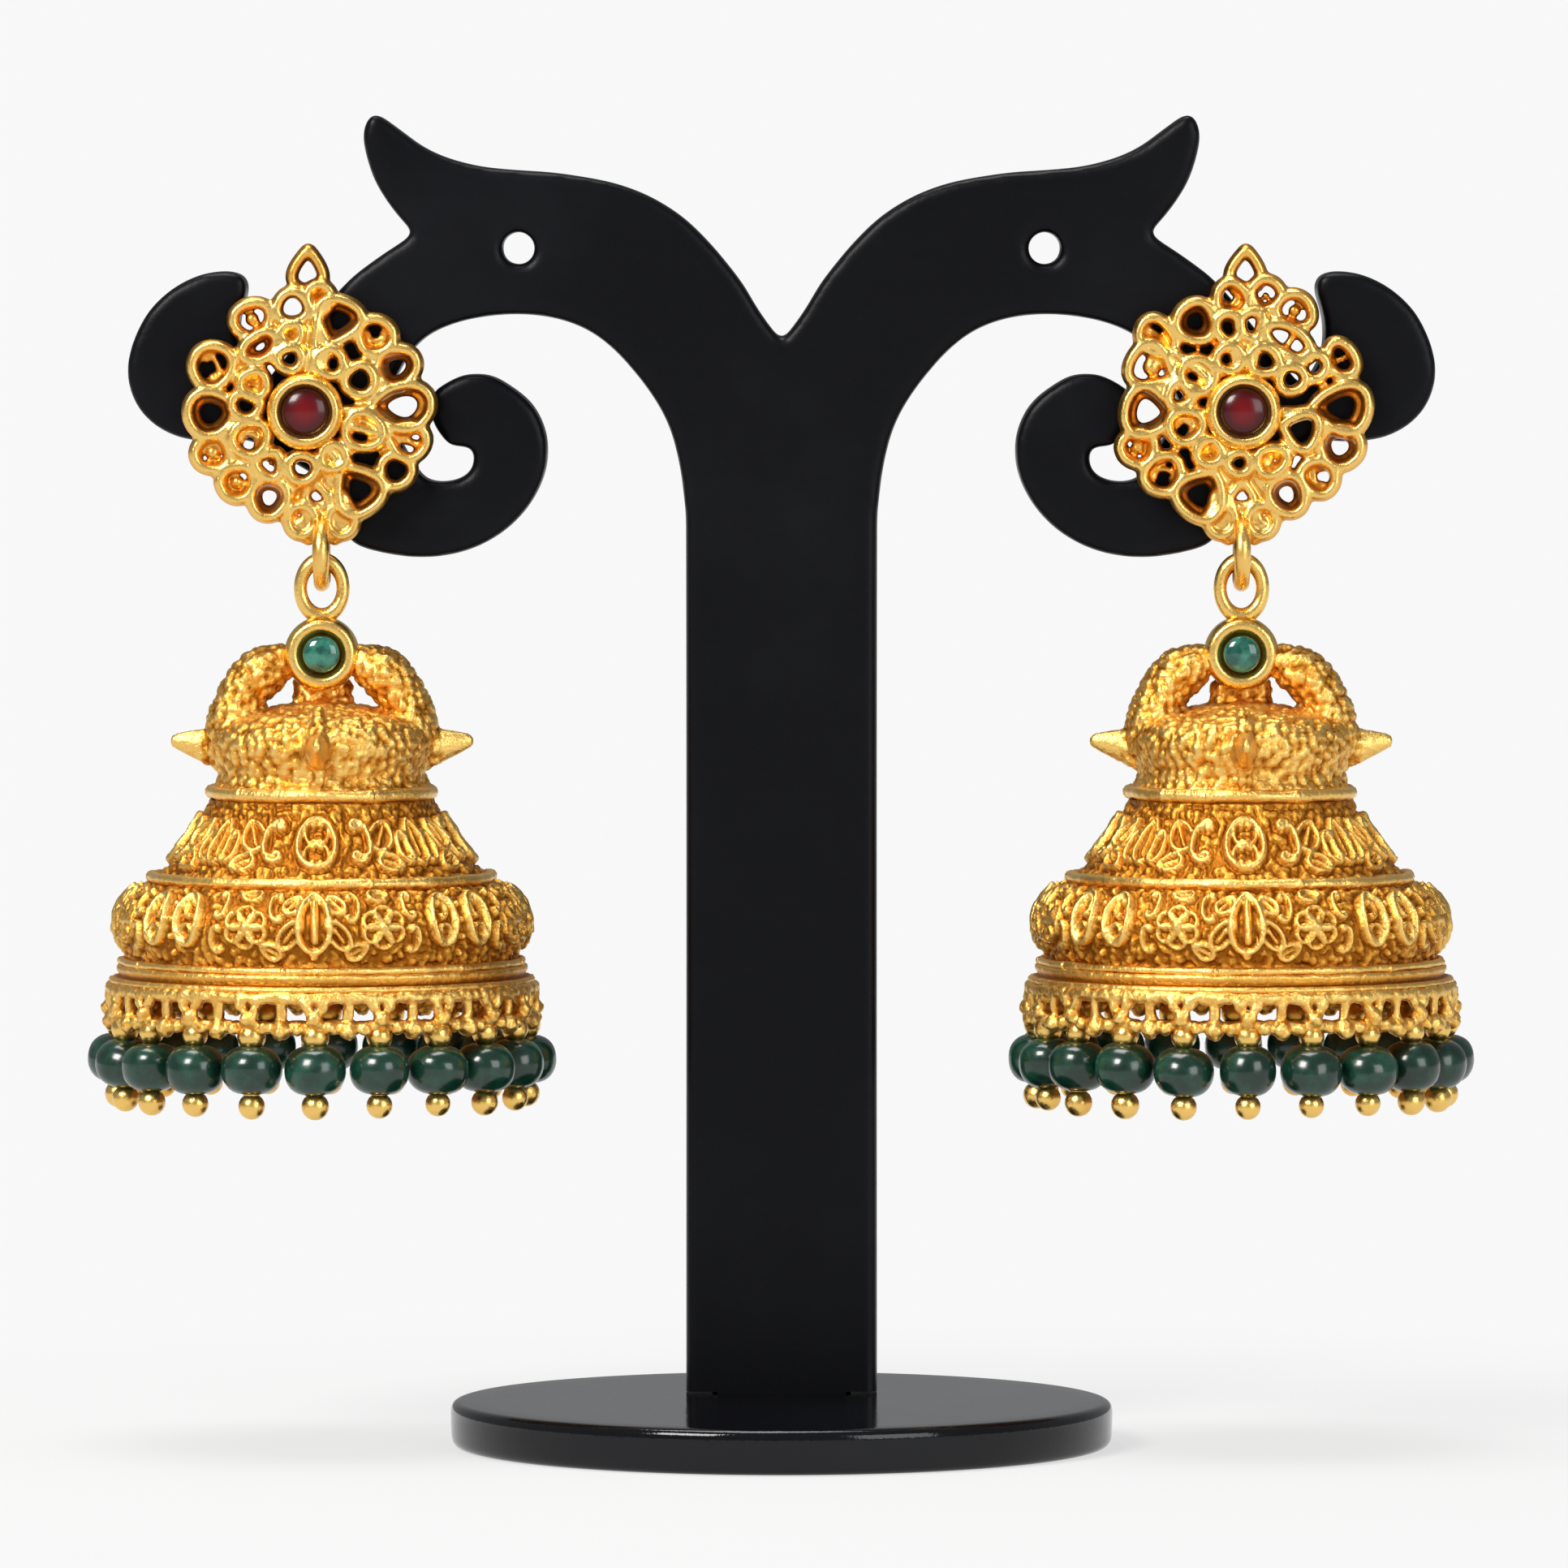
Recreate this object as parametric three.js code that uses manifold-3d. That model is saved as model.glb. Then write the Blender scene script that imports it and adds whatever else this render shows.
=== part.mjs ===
// A pair of gold jhumka earrings held on a flat two-armed display stand.
// Millimetres, +Z up. The origin is the centre of the base's underside; the front faces -Y.
// Each earring is a pierced rosette stud, a jump ring, and a hollow bell fringed with beads.
import * as THREE from 'three';
import { mergeVertices } from 'three/addons/utils/BufferGeometryUtils.js';
import Module from 'manifold-3d';

const wasm = await Module();
wasm.setup();

// Driving dimensions
const base = { radius: 20.5, height: 2.8, chamfer: 0.5, segments: 48 };
const plate = { front: 3.8, thickness: 5, halfWidth: 5.95, foot: 2.95 };
const tab = { halfWidth: 4, bottom: 0.6, clearance: 0.3 };
const eye = { x: 16.35, z: 74.1, radius: 1.08 };
const stud = { z: 64, y: 2.2, thickness: 1.7, postRadius: 0.4, postLength: 10, holeRadius: 0.8 };
const bezel = { outer: 2.4, inner: 1.75, depth: 2.5, floor: 1.1 };
const hangLoop = { z: 57.13, radius: 1.05, wire: 0.33, roomHalfWidth: 0.8, roomTop: 58.4 };
const jumpRing = { top: 57.7, bottom: 52.8, wire: 0.52 };
const dropLoop = { top: 55.2, bottom: 50.9, halfWidth: 1.8, wire: 0.46 };
const cup = { z: 49, outer: 2.25, inner: 1.5, depth: 2.6, floor: 1.2 };
const rubySize = { radius: 1.5, girdle: 0.5, height: 1.5 };
const emeraldSize = { radius: 1.18, girdle: 0.5, height: 1.3 };
const seatGap = 0.1;
const nut = { bore: 0.6, flange: 2.4, flangeDepth: 0.6, waist: 1.3, waistStart: 1, depth: 2.2, gap: 0.3 };
const crown = { depth: 3.2, openingX: 2.8, openingZ: 46.3, openingRadius: 0.8 };
const horn = { root: 5.6, tip: 9.45, rootRadius: 1.1, tipRadius: 0.35, rootZ: 43.2, tipZ: 43.8, count: 4 };
const bell = { segments: 36, galleryTop: 28.2, galleryBottom: 27.35, windowHalfWidth: 0.55 };
const beads = { count: 20, ringRadius: 12.65, z: 23.95, width: 3.65, height: 3.15, hole: 0.5 };
const pin = { wire: 0.3, topBallZ: 25.95, bottomBallZ: 21.65, ballRadius: 0.88, hoopZ: 26.72 };

// Where each earring sits: the rosette's centre and the line that its bell hangs on.
const sides = [
  { name: 'left', direction: -1, rosetteX: -29.5, hangX: -28.5 },
  { name: 'right', direction: 1, rosetteX: 28.6, hangX: 28.5 },
];

// The stand's arm, from the notch between the arms round to the post, as runs of smooth curve
// that meet at corners. x is the distance from the middle, so both arms use the same runs.
const armRuns = [
  {
    name: 'neck',
    x: [0, 1.4, 2.85, 5.9, 9.4, 13.7, 18.4, 21.7, 24.1, 25.3],
    z: [68.3, 70.2, 72.5, 75.85, 77.85, 78.75, 79.15, 80.1, 81.75, 82.6],
  },
  { name: 'crest', x: [25.3, 25.95, 25.8, 24.8, 22.8], z: [82.6, 81.6, 79.9, 77.4, 75] },
  { name: 'brow', x: [22.8, 24.95, 27.25, 30.3, 32.3], z: [75, 73.6, 71.75, 68, 65.5] },
  { name: 'crescent inside', x: [32.3, 33.5, 33.7, 33.1], z: [65.5, 67.3, 69.6, 71.6] },
  {
    name: 'crescent back',
    x: [33.1, 33.4, 34.9, 37.2, 39.3, 40.5, 40.5, 39.4, 37.4, 35.2, 33.2],
    z: [71.6, 72.45, 72.7, 72, 70.2, 67.6, 65.4, 63.5, 62.35, 62.1, 62.2],
  },
  { name: 'hub', x: [33.2, 29, 27.3, 27.1, 26.3], z: [62.2, 60, 57.8, 56.3, 55.6] },
  {
    name: 'swirl',
    x: [26.3, 23.45, 19.95, 16.9, 15, 14.55, 15.5, 17.7, 18.95, 20.2, 21.75],
    z: [55.6, 54.95, 55.2, 56.8, 59.35, 62, 64.4, 66.05, 66.3, 66.1, 65.15],
  },
  { name: 'knob', x: [21.75, 21.85, 21.5, 20.55, 19.1], z: [65.15, 64, 62.95, 61.75, 61.85] },
  { name: 'slit', x: [19.1, 19.2, 20.2, 21.6, 22.7, 24.8], z: [61.35, 60.4, 59.7, 59.6, 60.4, 64.4] },
  {
    name: 'arch',
    x: [24.8, 22.9, 20.6, 17.1, 13.8, 11.15, 8.75, 7.1, 6.3, 5.95],
    z: [64.4, 67.85, 69.35, 70, 69.7, 68.45, 65.95, 63.3, 60.4, 57.4],
  },
];
const curveStep = 1.45;
const shortestEdge = 0.2;

// The rosette's outer petals. clock is degrees clockwise from the crown, reach is the distance
// from the centre to the petal's outer end, and halfWidth is half of the petal's width.
const petals = [
  { clock: 27, reach: 8.1, halfWidth: 1.4 },
  { clock: 61, reach: 8.2, halfWidth: 1.5 },
  { clock: 88, reach: 7.6, halfWidth: 1.6 },
  { clock: 111, reach: 7.4, halfWidth: 1.1 },
  { clock: 132, reach: 7.4, halfWidth: 1.2 },
  { clock: 152, reach: 7.2, halfWidth: 1.2 },
  { clock: 167, reach: 7.4, halfWidth: 1.1 },
  { clock: 193, reach: 7.4, halfWidth: 1.1 },
  { clock: 208, reach: 7.2, halfWidth: 1.2 },
  { clock: 229, reach: 7.3, halfWidth: 1.2 },
  { clock: 250, reach: 7.8, halfWidth: 1.1 },
  { clock: 271, reach: 7.3, halfWidth: 1.6 },
  { clock: 297, reach: 7.6, halfWidth: 1.3 },
  { clock: 332, reach: 8.1, halfWidth: 1.4 },
];
const innerRing = { count: 8, radius: 3.75, holeRadius: 0.6 };
const petalHole = { radius: 0.62, inset: 1.55 };
const crownTip = { base: 6.4, tip: 9.95, halfWidth: 1.1, holeLow: 7.1, holeHigh: 8.9, holeHalf: 0.45 };

// The crown's solid outline on one side, and the dome's height on the bell's line, outside and inside.
const crownOutline = { x: [2.6, 4.4, 5.5, 6.1, 7, 7.3, 6.2], z: [49.7, 49.4, 48.4, 46.9, 45.8, 44.4, 43.2] };
const domeTop = { outer: 45.4, inner: 44.3 };

// The bell's wall from the crown's dome down to the gallery, as radius and height outside and inside.
const bellWall = [
  { outer: 2.4, z: 45.3, inner: 1.4, innerZ: 44.2 },
  { outer: 5, z: 44.7, inner: 4.2, innerZ: 43.6 },
  { outer: 6.7, z: 43, inner: 5.6, innerZ: 42.6 },
  { outer: 6.35, z: 41.4, inner: 5.6, innerZ: 41.4 },
  { outer: 7.1, z: 40.5, inner: 5.9, innerZ: 40.5 },
  { outer: 7, z: 39.9, inner: 6.1, innerZ: 39.9 },
  { outer: 10.2, z: 35.4, inner: 9.2, innerZ: 35.2 },
  { outer: 11.8, z: 34.9, inner: 10.9, innerZ: 34.1 },
  { outer: 13.25, z: 32.1, inner: 12.3, innerZ: 32.1 },
  { outer: 12.7, z: 30.3, inner: 11.8, innerZ: 30.3 },
  { outer: 13.5, z: 28.9, inner: 12.5, innerZ: 28.9 },
  { outer: 13.4, z: bell.galleryBottom, inner: 12.5, innerZ: bell.galleryBottom },
];

const gold = new THREE.MeshStandardMaterial({ color: 0xd9a441, roughness: 0.38, metalness: 1 });
const blackAcrylic = new THREE.MeshStandardMaterial({ color: 0x1b1d20, roughness: 0.45, metalness: 0 });
const rubyGlass = new THREE.MeshStandardMaterial({ color: 0x6a0f1c, roughness: 0.12, metalness: 0 });
const emeraldGlass = new THREE.MeshStandardMaterial({ color: 0x1f6f5c, roughness: 0.12, metalness: 0 });
const beadGlass = new THREE.MeshStandardMaterial({ color: 0x0f4a36, roughness: 0.15, metalness: 0 });

const point = (x, y) => new THREE.Vector2(x, y);
const clockPoint = (degrees, radius) => {
  const angle = THREE.MathUtils.degToRad(degrees);
  return point(radius * Math.sin(angle), radius * Math.cos(angle));
};

// A closed geometry as a manifold solid, and back.
function solid(geometry) {
  const bare = geometry.index ? geometry.toNonIndexed() : geometry.clone();
  bare.deleteAttribute('normal');
  bare.deleteAttribute('uv');
  const merged = mergeVertices(bare, 1e-4);
  return new wasm.Manifold(new wasm.Mesh({
    numProp: 3,
    vertProperties: new Float32Array(merged.attributes.position.array),
    triVerts: new Uint32Array(merged.index.array),
  }));
}

function geometryOf(manifold) {
  const mesh = manifold.getMesh();
  const geometry = new THREE.BufferGeometry();
  geometry.setAttribute('position', new THREE.BufferAttribute(new Float32Array(mesh.vertProperties), 3));
  geometry.setIndex(new THREE.BufferAttribute(new Uint32Array(mesh.triVerts), 1));
  geometry.computeVertexNormals();
  return geometry;
}

const joined = (geometries) => geometries.map(solid).reduce((sum, next) => sum.add(next));

function named(name, geometry, material, x = 0, y = 0, z = 0) {
  const mesh = new THREE.Mesh(geometry, material);
  mesh.name = name;
  mesh.position.set(x, y, z);
  return mesh;
}

// A shape drawn in x and z, given its thickness along y and centred on y = 0.
function upright(shape, thickness) {
  const geometry = new THREE.ExtrudeGeometry(shape, { depth: thickness, bevelEnabled: false });
  return geometry.rotateX(Math.PI / 2).translate(0, thickness / 2, 0);
}

// A profile turned about z. Lathe turns about y, so the result is stood up.
function turned(profile, segments) {
  return new THREE.LatheGeometry(profile, segments).rotateX(Math.PI / 2);
}

// A profile turned about y, with the profile's heights running towards the front.
function turnedForward(profile, segments) {
  return new THREE.LatheGeometry(profile, segments).rotateX(Math.PI);
}

const circlePath = (x, z, radius, count) => {
  const path = new THREE.Path();
  path.setFromPoints(Array.from({ length: count }, (_, i) => {
    const angle = (2 * Math.PI * i) / count;
    return point(x + radius * Math.cos(angle), z + radius * Math.sin(angle));
  }));
  return path;
};

// The outline of one arm, point by point from the notch to the post.
function armOutline() {
  const outline = [];
  for (const run of armRuns) {
    const curve = new THREE.SplineCurve(run.x.map((x, i) => point(x, run.z[i])));
    const steps = Math.max(run.x.length - 1, Math.round(curve.getLength() / curveStep));
    for (const place of curve.getPoints(steps)) {
      const last = outline[outline.length - 1];
      if (!last || last.distanceTo(place) > shortestEdge) outline.push(place);
    }
  }
  return outline;
}

function standPlate() {
  const arm = armOutline();
  const half = [
    ...arm,
    point(plate.halfWidth, plate.foot),
    point(tab.halfWidth, plate.foot),
    point(tab.halfWidth, tab.bottom),
  ];
  const mirrored = half.slice(1).reverse().map((p) => point(-p.x, p.y));
  const shape = new THREE.Shape([...half, ...mirrored]);
  for (const side of sides) {
    shape.holes.push(circlePath(side.direction * eye.x, eye.z, eye.radius, 16));
    shape.holes.push(circlePath(side.rosetteX, stud.z, stud.holeRadius, 12));
  }
  const centre = plate.front + plate.thickness / 2;
  return named('stand_plate', upright(shape, plate.thickness), blackAcrylic, 0, centre, 0);
}

// A round foot with a slot that takes the plate's tab.
function standBase() {
  const disc = turned([
    point(0, 0),
    point(base.radius - base.chamfer / 2, 0),
    point(base.radius, base.chamfer / 2),
    point(base.radius, base.height - base.chamfer),
    point(base.radius - base.chamfer, base.height),
    point(0, base.height),
  ], base.segments);
  const slotWidth = 2 * (tab.halfWidth + tab.clearance);
  const slotDepth = plate.thickness + 2 * tab.clearance;
  const slot = new THREE.BoxGeometry(slotWidth, slotDepth, 2 * base.height);
  slot.translate(0, plate.front + plate.thickness / 2, base.height + tab.bottom - tab.clearance);
  return named('stand_base', geometryOf(solid(disc).subtract(solid(slot))), blackAcrylic);
}

// The rosette's scalloped edge: one arc for each petal, in turn.
function rosetteShape() {
  const edge = [
    point(-crownTip.halfWidth, crownTip.base),
    point(-crownTip.halfWidth, crownTip.holeHigh),
    point(0, crownTip.tip),
    point(crownTip.halfWidth, crownTip.holeHigh),
    point(crownTip.halfWidth, crownTip.base),
  ];
  for (const petal of petals) {
    const centre = clockPoint(petal.clock, petal.reach - petal.halfWidth);
    for (const turn of [-72, -24, 24, 72]) {
      edge.push(clockPoint(petal.clock + turn, petal.halfWidth).add(centre));
    }
  }
  const shape = new THREE.Shape(edge);
  for (const petal of petals) {
    const { x, y } = clockPoint(petal.clock, petal.reach - petalHole.inset);
    shape.holes.push(circlePath(x, y, petalHole.radius, 7));
  }
  for (let i = 0; i < innerRing.count; i++) {
    const { x, y } = clockPoint((360 * (i + 0.5)) / innerRing.count, innerRing.radius);
    shape.holes.push(circlePath(x, y, innerRing.holeRadius, 6));
  }
  shape.holes.push(new THREE.Path([
    point(-crownTip.holeHalf, crownTip.holeLow),
    point(crownTip.holeHalf, crownTip.holeLow),
    point(crownTip.holeHalf, crownTip.holeHigh),
    point(-crownTip.holeHalf, crownTip.holeHigh),
  ]));
  return shape;
}

// A round setting open to the front, centred on y = 0.
function setting({ outer, inner, depth, floor }) {
  const half = depth / 2;
  return turnedForward([
    point(0, -half),
    point(outer, -half),
    point(outer, half),
    point(inner, half),
    point(inner, floor - half),
    point(0, floor - half),
  ], 20);
}

// The room in front of a setting's floor, kept open where other gold meets the setting.
function settingHollow({ inner, depth, floor }) {
  const low = floor - depth / 2;
  const front = depth / 2 + 1;
  return turnedForward([point(0, low), point(inner, low), point(inner, front), point(0, front)], 20);
}

// A domed stone whose flat back lies at y = 0 and whose dome faces the front.
function cabochon(radius, girdle, height) {
  const profile = [point(0, 0), point(radius, 0)];
  for (const degrees of [0, 30, 60]) {
    const angle = THREE.MathUtils.degToRad(degrees);
    profile.push(point(radius * Math.cos(angle), girdle + (height - girdle) * Math.sin(angle)));
  }
  profile.push(point(0, height));
  return turnedForward(profile, 16);
}

// A wire ring in the x and z plane, stretched to the given half width and half height of its wire line.
function wireRing(halfWidth, halfHeight, wire, sidesOfWire = 7, segments = 18) {
  const ring = new THREE.TorusGeometry(1, 1, sidesOfWire, segments);
  const place = ring.attributes.position;
  for (let i = 0; i < place.count; i++) {
    const around = (2 * Math.PI * (i % (segments + 1))) / segments;
    const across = (2 * Math.PI * Math.floor(i / (segments + 1))) / sidesOfWire;
    const grow = wire * Math.cos(across);
    const x = (halfWidth + grow) * Math.cos(around);
    const z = (halfHeight + grow) * Math.sin(around);
    place.setXYZ(i, x, -wire * Math.sin(across), z);
  }
  return ring;
}

// The stud: pierced petals, the ruby's setting, the ear post and the small ring at the bottom,
// which is soldered on over the bell's line and has room cut round it for the jump ring.
function rosette(side) {
  const loopX = side.hangX - side.rosetteX;
  const loop = wireRing(hangLoop.radius, hangLoop.radius, hangLoop.wire, 6, 14);
  loop.translate(loopX, 0, hangLoop.z - stud.z);
  const roomBottom = hangLoop.z - hangLoop.radius;
  const roomHeight = hangLoop.roomTop - roomBottom;
  const room = new THREE.BoxGeometry(2 * hangLoop.roomHalfWidth, 2 * stud.thickness, roomHeight);
  room.translate(loopX, 0, roomBottom + roomHeight / 2 - stud.z);
  const post = new THREE.CylinderGeometry(stud.postRadius, stud.postRadius, stud.postLength, 10);
  post.translate(0, stud.postLength / 2, 0);
  const petalled = solid(upright(rosetteShape(), stud.thickness)).subtract(solid(room));
  const body = petalled.add(joined([setting(bezel), loop, post]));
  const opened = body.subtract(solid(settingHollow(bezel)));
  return named(`${side.name}_rosette`, geometryOf(opened), gold, side.rosetteX, stud.y, stud.z);
}

function ruby(side) {
  const stone = cabochon(rubySize.radius, rubySize.girdle, rubySize.height);
  const back = stud.y + bezel.depth / 2 - bezel.floor - seatGap;
  return named(`${side.name}_ruby`, stone, rubyGlass, side.rosetteX, back, stud.z);
}

// The push-on nut behind the plate, with a waist and a through hole for the post.
function earNut(side) {
  const shell = turnedForward([
    point(nut.bore, 0), point(nut.flange, 0), point(nut.flange, nut.flangeDepth),
    point(nut.waist, nut.waistStart), point(nut.waist, nut.depth), point(nut.bore, nut.depth),
    point(nut.bore, 0),
  ], 14).rotateX(Math.PI);
  const back = plate.front + plate.thickness + nut.gap;
  return named(`${side.name}_ear_nut`, shell, gold, side.rosetteX, back, stud.z);
}

function link(side) {
  const reach = (jumpRing.top - jumpRing.bottom) / 2 - jumpRing.wire;
  const ring = wireRing(reach, reach, jumpRing.wire).rotateZ(Math.PI / 2);
  const z = (jumpRing.top + jumpRing.bottom) / 2;
  return named(`${side.name}_link`, ring, gold, side.hangX, stud.y, z);
}

// The arches that carry the emerald's cup, pierced on each side.
function crownArches() {
  const half = crownOutline.x.map((x, i) => point(x, crownOutline.z[i]));
  const mirrored = half.slice().reverse().map((p) => point(-p.x, p.y));
  const shape = new THREE.Shape([...half, ...mirrored]);
  for (const direction of [-1, 1]) {
    const x = direction * crown.openingX;
    shape.holes.push(circlePath(x, crown.openingZ, crown.openingRadius, 10));
  }
  return upright(shape, crown.depth);
}

function horns() {
  return Array.from({ length: horn.count }, (_, i) => {
    const length = horn.tip - horn.root;
    const cone = new THREE.CylinderGeometry(horn.tipRadius, horn.rootRadius, length, 8);
    cone.rotateZ(-Math.PI / 2);
    cone.translate(horn.root + length / 2, 0, (horn.rootZ + horn.tipZ) / 2);
    return cone.rotateZ((2 * Math.PI * i) / horn.count);
  });
}

// Windows through the gallery under the rim, one above each bead.
function galleryWindows() {
  const height = bell.galleryTop - bell.galleryBottom + 1;
  const windows = Array.from({ length: beads.count }, (_, i) => {
    const box = new THREE.BoxGeometry(4, 2 * bell.windowHalfWidth, height);
    box.translate(13, 0, bell.galleryTop - height / 2);
    return box.rotateZ((2 * Math.PI * i) / beads.count);
  });
  return windows;
}

function hollowBell(side) {
  const profile = [point(0, domeTop.outer)];
  for (const row of bellWall) profile.push(point(row.outer, row.z));
  for (const row of bellWall.slice().reverse()) profile.push(point(row.inner, row.innerZ));
  profile.push(point(0, domeTop.inner));
  const loopCentre = (dropLoop.top + dropLoop.bottom) / 2;
  const loopHeight = (dropLoop.top - dropLoop.bottom) / 2;
  const loop = wireRing(dropLoop.halfWidth - dropLoop.wire, loopHeight - dropLoop.wire, dropLoop.wire);
  const wall = solid(turned(profile.reverse(), bell.segments));
  const pierced = galleryWindows().map(solid).reduce((rest, next) => rest.subtract(next), wall);
  const body = joined([
    loop.translate(0, 0, loopCentre),
    setting(cup).translate(0, 0, cup.z),
    crownArches(),
    ...horns(),
  ]).add(pierced);
  const opened = body.subtract(solid(settingHollow(cup).translate(0, 0, cup.z)));
  return named(`${side.name}_bell`, geometryOf(opened), gold, side.hangX, stud.y, 0);
}

function emerald(side) {
  const stone = cabochon(emeraldSize.radius, emeraldSize.girdle, emeraldSize.height);
  const back = stud.y + cup.depth / 2 - cup.floor - seatGap;
  return named(`${side.name}_emerald`, stone, emeraldGlass, side.hangX, back, cup.z);
}

// One head pin: a ball above the bead, the wire through it, and a ball below.
function headPin() {
  const r = pin.ballRadius;
  return turned([
    point(0, pin.bottomBallZ - r),
    point(r * 0.8, pin.bottomBallZ - r * 0.6),
    point(r * 0.95, pin.bottomBallZ + r * 0.2),
    point(pin.wire, pin.bottomBallZ + r * 0.8),
    point(pin.wire, pin.topBallZ - r * 0.8),
    point(r * 0.95, pin.topBallZ - r * 0.2),
    point(r * 0.8, pin.topBallZ + r * 0.6),
    point(0, pin.topBallZ + r),
  ], 6);
}

function beadPins(side) {
  const hoop = new THREE.TorusGeometry(beads.ringRadius, pin.wire, 4, 2 * beads.count);
  const pieces = [hoop.translate(0, 0, pin.hoopZ)];
  for (let i = 0; i < beads.count; i++) {
    const angle = (2 * Math.PI * i) / beads.count;
    const x = beads.ringRadius * Math.cos(angle);
    const y = beads.ringRadius * Math.sin(angle);
    pieces.push(headPin().translate(x, y, 0));
  }
  return named(`${side.name}_bead_pins`, geometryOf(joined(pieces)), gold, side.hangX, stud.y, 0);
}

// A drilled melon bead, as a closed ring profile round its hole.
function drilledBead() {
  const r = beads.width / 2;
  const h = beads.height / 2;
  return turned([
    point(beads.hole, -h), point(r * 0.72, -h * 0.8), point(r, -h * 0.25), point(r, h * 0.25),
    point(r * 0.72, h * 0.8), point(beads.hole, h), point(beads.hole, -h),
  ], 8);
}

function beadRing(side) {
  return Array.from({ length: beads.count }, (_, i) => {
    const angle = -Math.PI / 2 + (2 * Math.PI * i) / beads.count;
    const x = side.hangX + beads.ringRadius * Math.cos(angle);
    const y = stud.y + beads.ringRadius * Math.sin(angle);
    const name = `${side.name}_bead_${String(i + 1).padStart(2, '0')}`;
    return named(name, drilledBead(), beadGlass, x, y, beads.z);
  });
}

const model = new THREE.Group();
model.add(standBase(), standPlate());
for (const side of sides) {
  model.add(rosette(side), ruby(side), earNut(side), link(side));
  model.add(hollowBell(side), emerald(side), beadPins(side), ...beadRing(side));
}

export default model;
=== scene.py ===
import itertools
import math

import bmesh
import bpy
import numpy as np
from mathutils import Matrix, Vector
from mathutils.geometry import tessellate_polygon


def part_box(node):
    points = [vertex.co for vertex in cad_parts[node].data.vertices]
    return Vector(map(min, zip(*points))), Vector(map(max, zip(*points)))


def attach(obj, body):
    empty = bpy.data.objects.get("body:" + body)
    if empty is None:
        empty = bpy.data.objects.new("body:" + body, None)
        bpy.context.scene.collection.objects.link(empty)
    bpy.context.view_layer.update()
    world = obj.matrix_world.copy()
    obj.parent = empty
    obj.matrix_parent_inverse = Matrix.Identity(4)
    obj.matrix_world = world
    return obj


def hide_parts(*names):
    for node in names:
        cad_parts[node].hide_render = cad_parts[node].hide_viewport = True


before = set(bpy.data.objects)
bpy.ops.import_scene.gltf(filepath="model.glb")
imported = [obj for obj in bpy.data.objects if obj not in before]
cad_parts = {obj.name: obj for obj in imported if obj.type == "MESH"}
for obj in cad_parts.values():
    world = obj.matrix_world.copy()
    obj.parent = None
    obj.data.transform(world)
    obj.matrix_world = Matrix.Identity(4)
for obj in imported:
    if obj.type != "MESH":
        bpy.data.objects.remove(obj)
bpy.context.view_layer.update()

# Lengths below are in millimetres. x runs to the viewer's right, y to the back, z up.
mm = 0.001
front = np.array([0.0, -1.0, 0.0])


def low(node):
    return np.array(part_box(node)[0]) / mm


def high(node):
    return np.array(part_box(node)[1]) / mm


def middle(node):
    return (low(node) + high(node)) / 2


def unit(vectors):
    return vectors / np.maximum(np.linalg.norm(vectors, axis=-1, keepdims=True), 1e-9)


def fullTurn(count):
    return 2 * np.pi * np.arange(count) / count


def circle(count, radius=1.0, z=0.0):
    # points round the z axis, starting at the front
    theta = fullTurn(count)
    return np.stack([radius * np.sin(theta), -radius * np.cos(theta), 0 * theta + z], axis=1)


view = {"distance": 800.0, "height": 75.0, "aim": (0.15, 0.0, 41.0), "frameWidth": 96.9, "sensor": 36.0}


def aimAtObject(holder):
    holder.rotation_euler = (Vector(view["aim"]) * mm - holder.location).to_track_quat("-Z", "Y").to_euler()


def makeCamera():
    camera = bpy.data.cameras.new("camera")
    camera.sensor_width = view["sensor"]
    camera.lens = view["sensor"] * view["distance"] / view["frameWidth"]
    camera.clip_start, camera.clip_end = 0.05, 20
    holder = bpy.data.objects.new("camera", camera)
    bpy.context.scene.collection.objects.link(holder)
    holder.location = Vector((view["aim"][0], -view["distance"], view["height"])) * mm
    aimAtObject(holder)
    bpy.context.scene.camera = holder


class Signal:
    # a socket that arithmetic can be written with
    def __init__(self, finish, socket):
        self.finish, self.socket = finish, socket

    def calc(self, operation, a, b):
        return self.finish.node("ShaderNodeMath", {"operation": operation}, {0: a, 1: b})

    def __add__(self, other):
        return self.calc("ADD", self, other)

    def __radd__(self, other):
        return self.calc("ADD", other, self)

    def __sub__(self, other):
        return self.calc("SUBTRACT", self, other)

    def __rsub__(self, other):
        return self.calc("SUBTRACT", other, self)

    def __mul__(self, other):
        return self.calc("MULTIPLY", self, other)

    def __rmul__(self, other):
        return self.calc("MULTIPLY", other, self)

    def clamp(self):
        return self.finish.node("ShaderNodeClamp", {}, {0: self})

    def smooth(self, start, end):
        steps = {"interpolation_type": "SMOOTHSTEP"}
        return self.finish.node("ShaderNodeMapRange", steps, {0: self, 1: start, 2: end})


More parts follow.
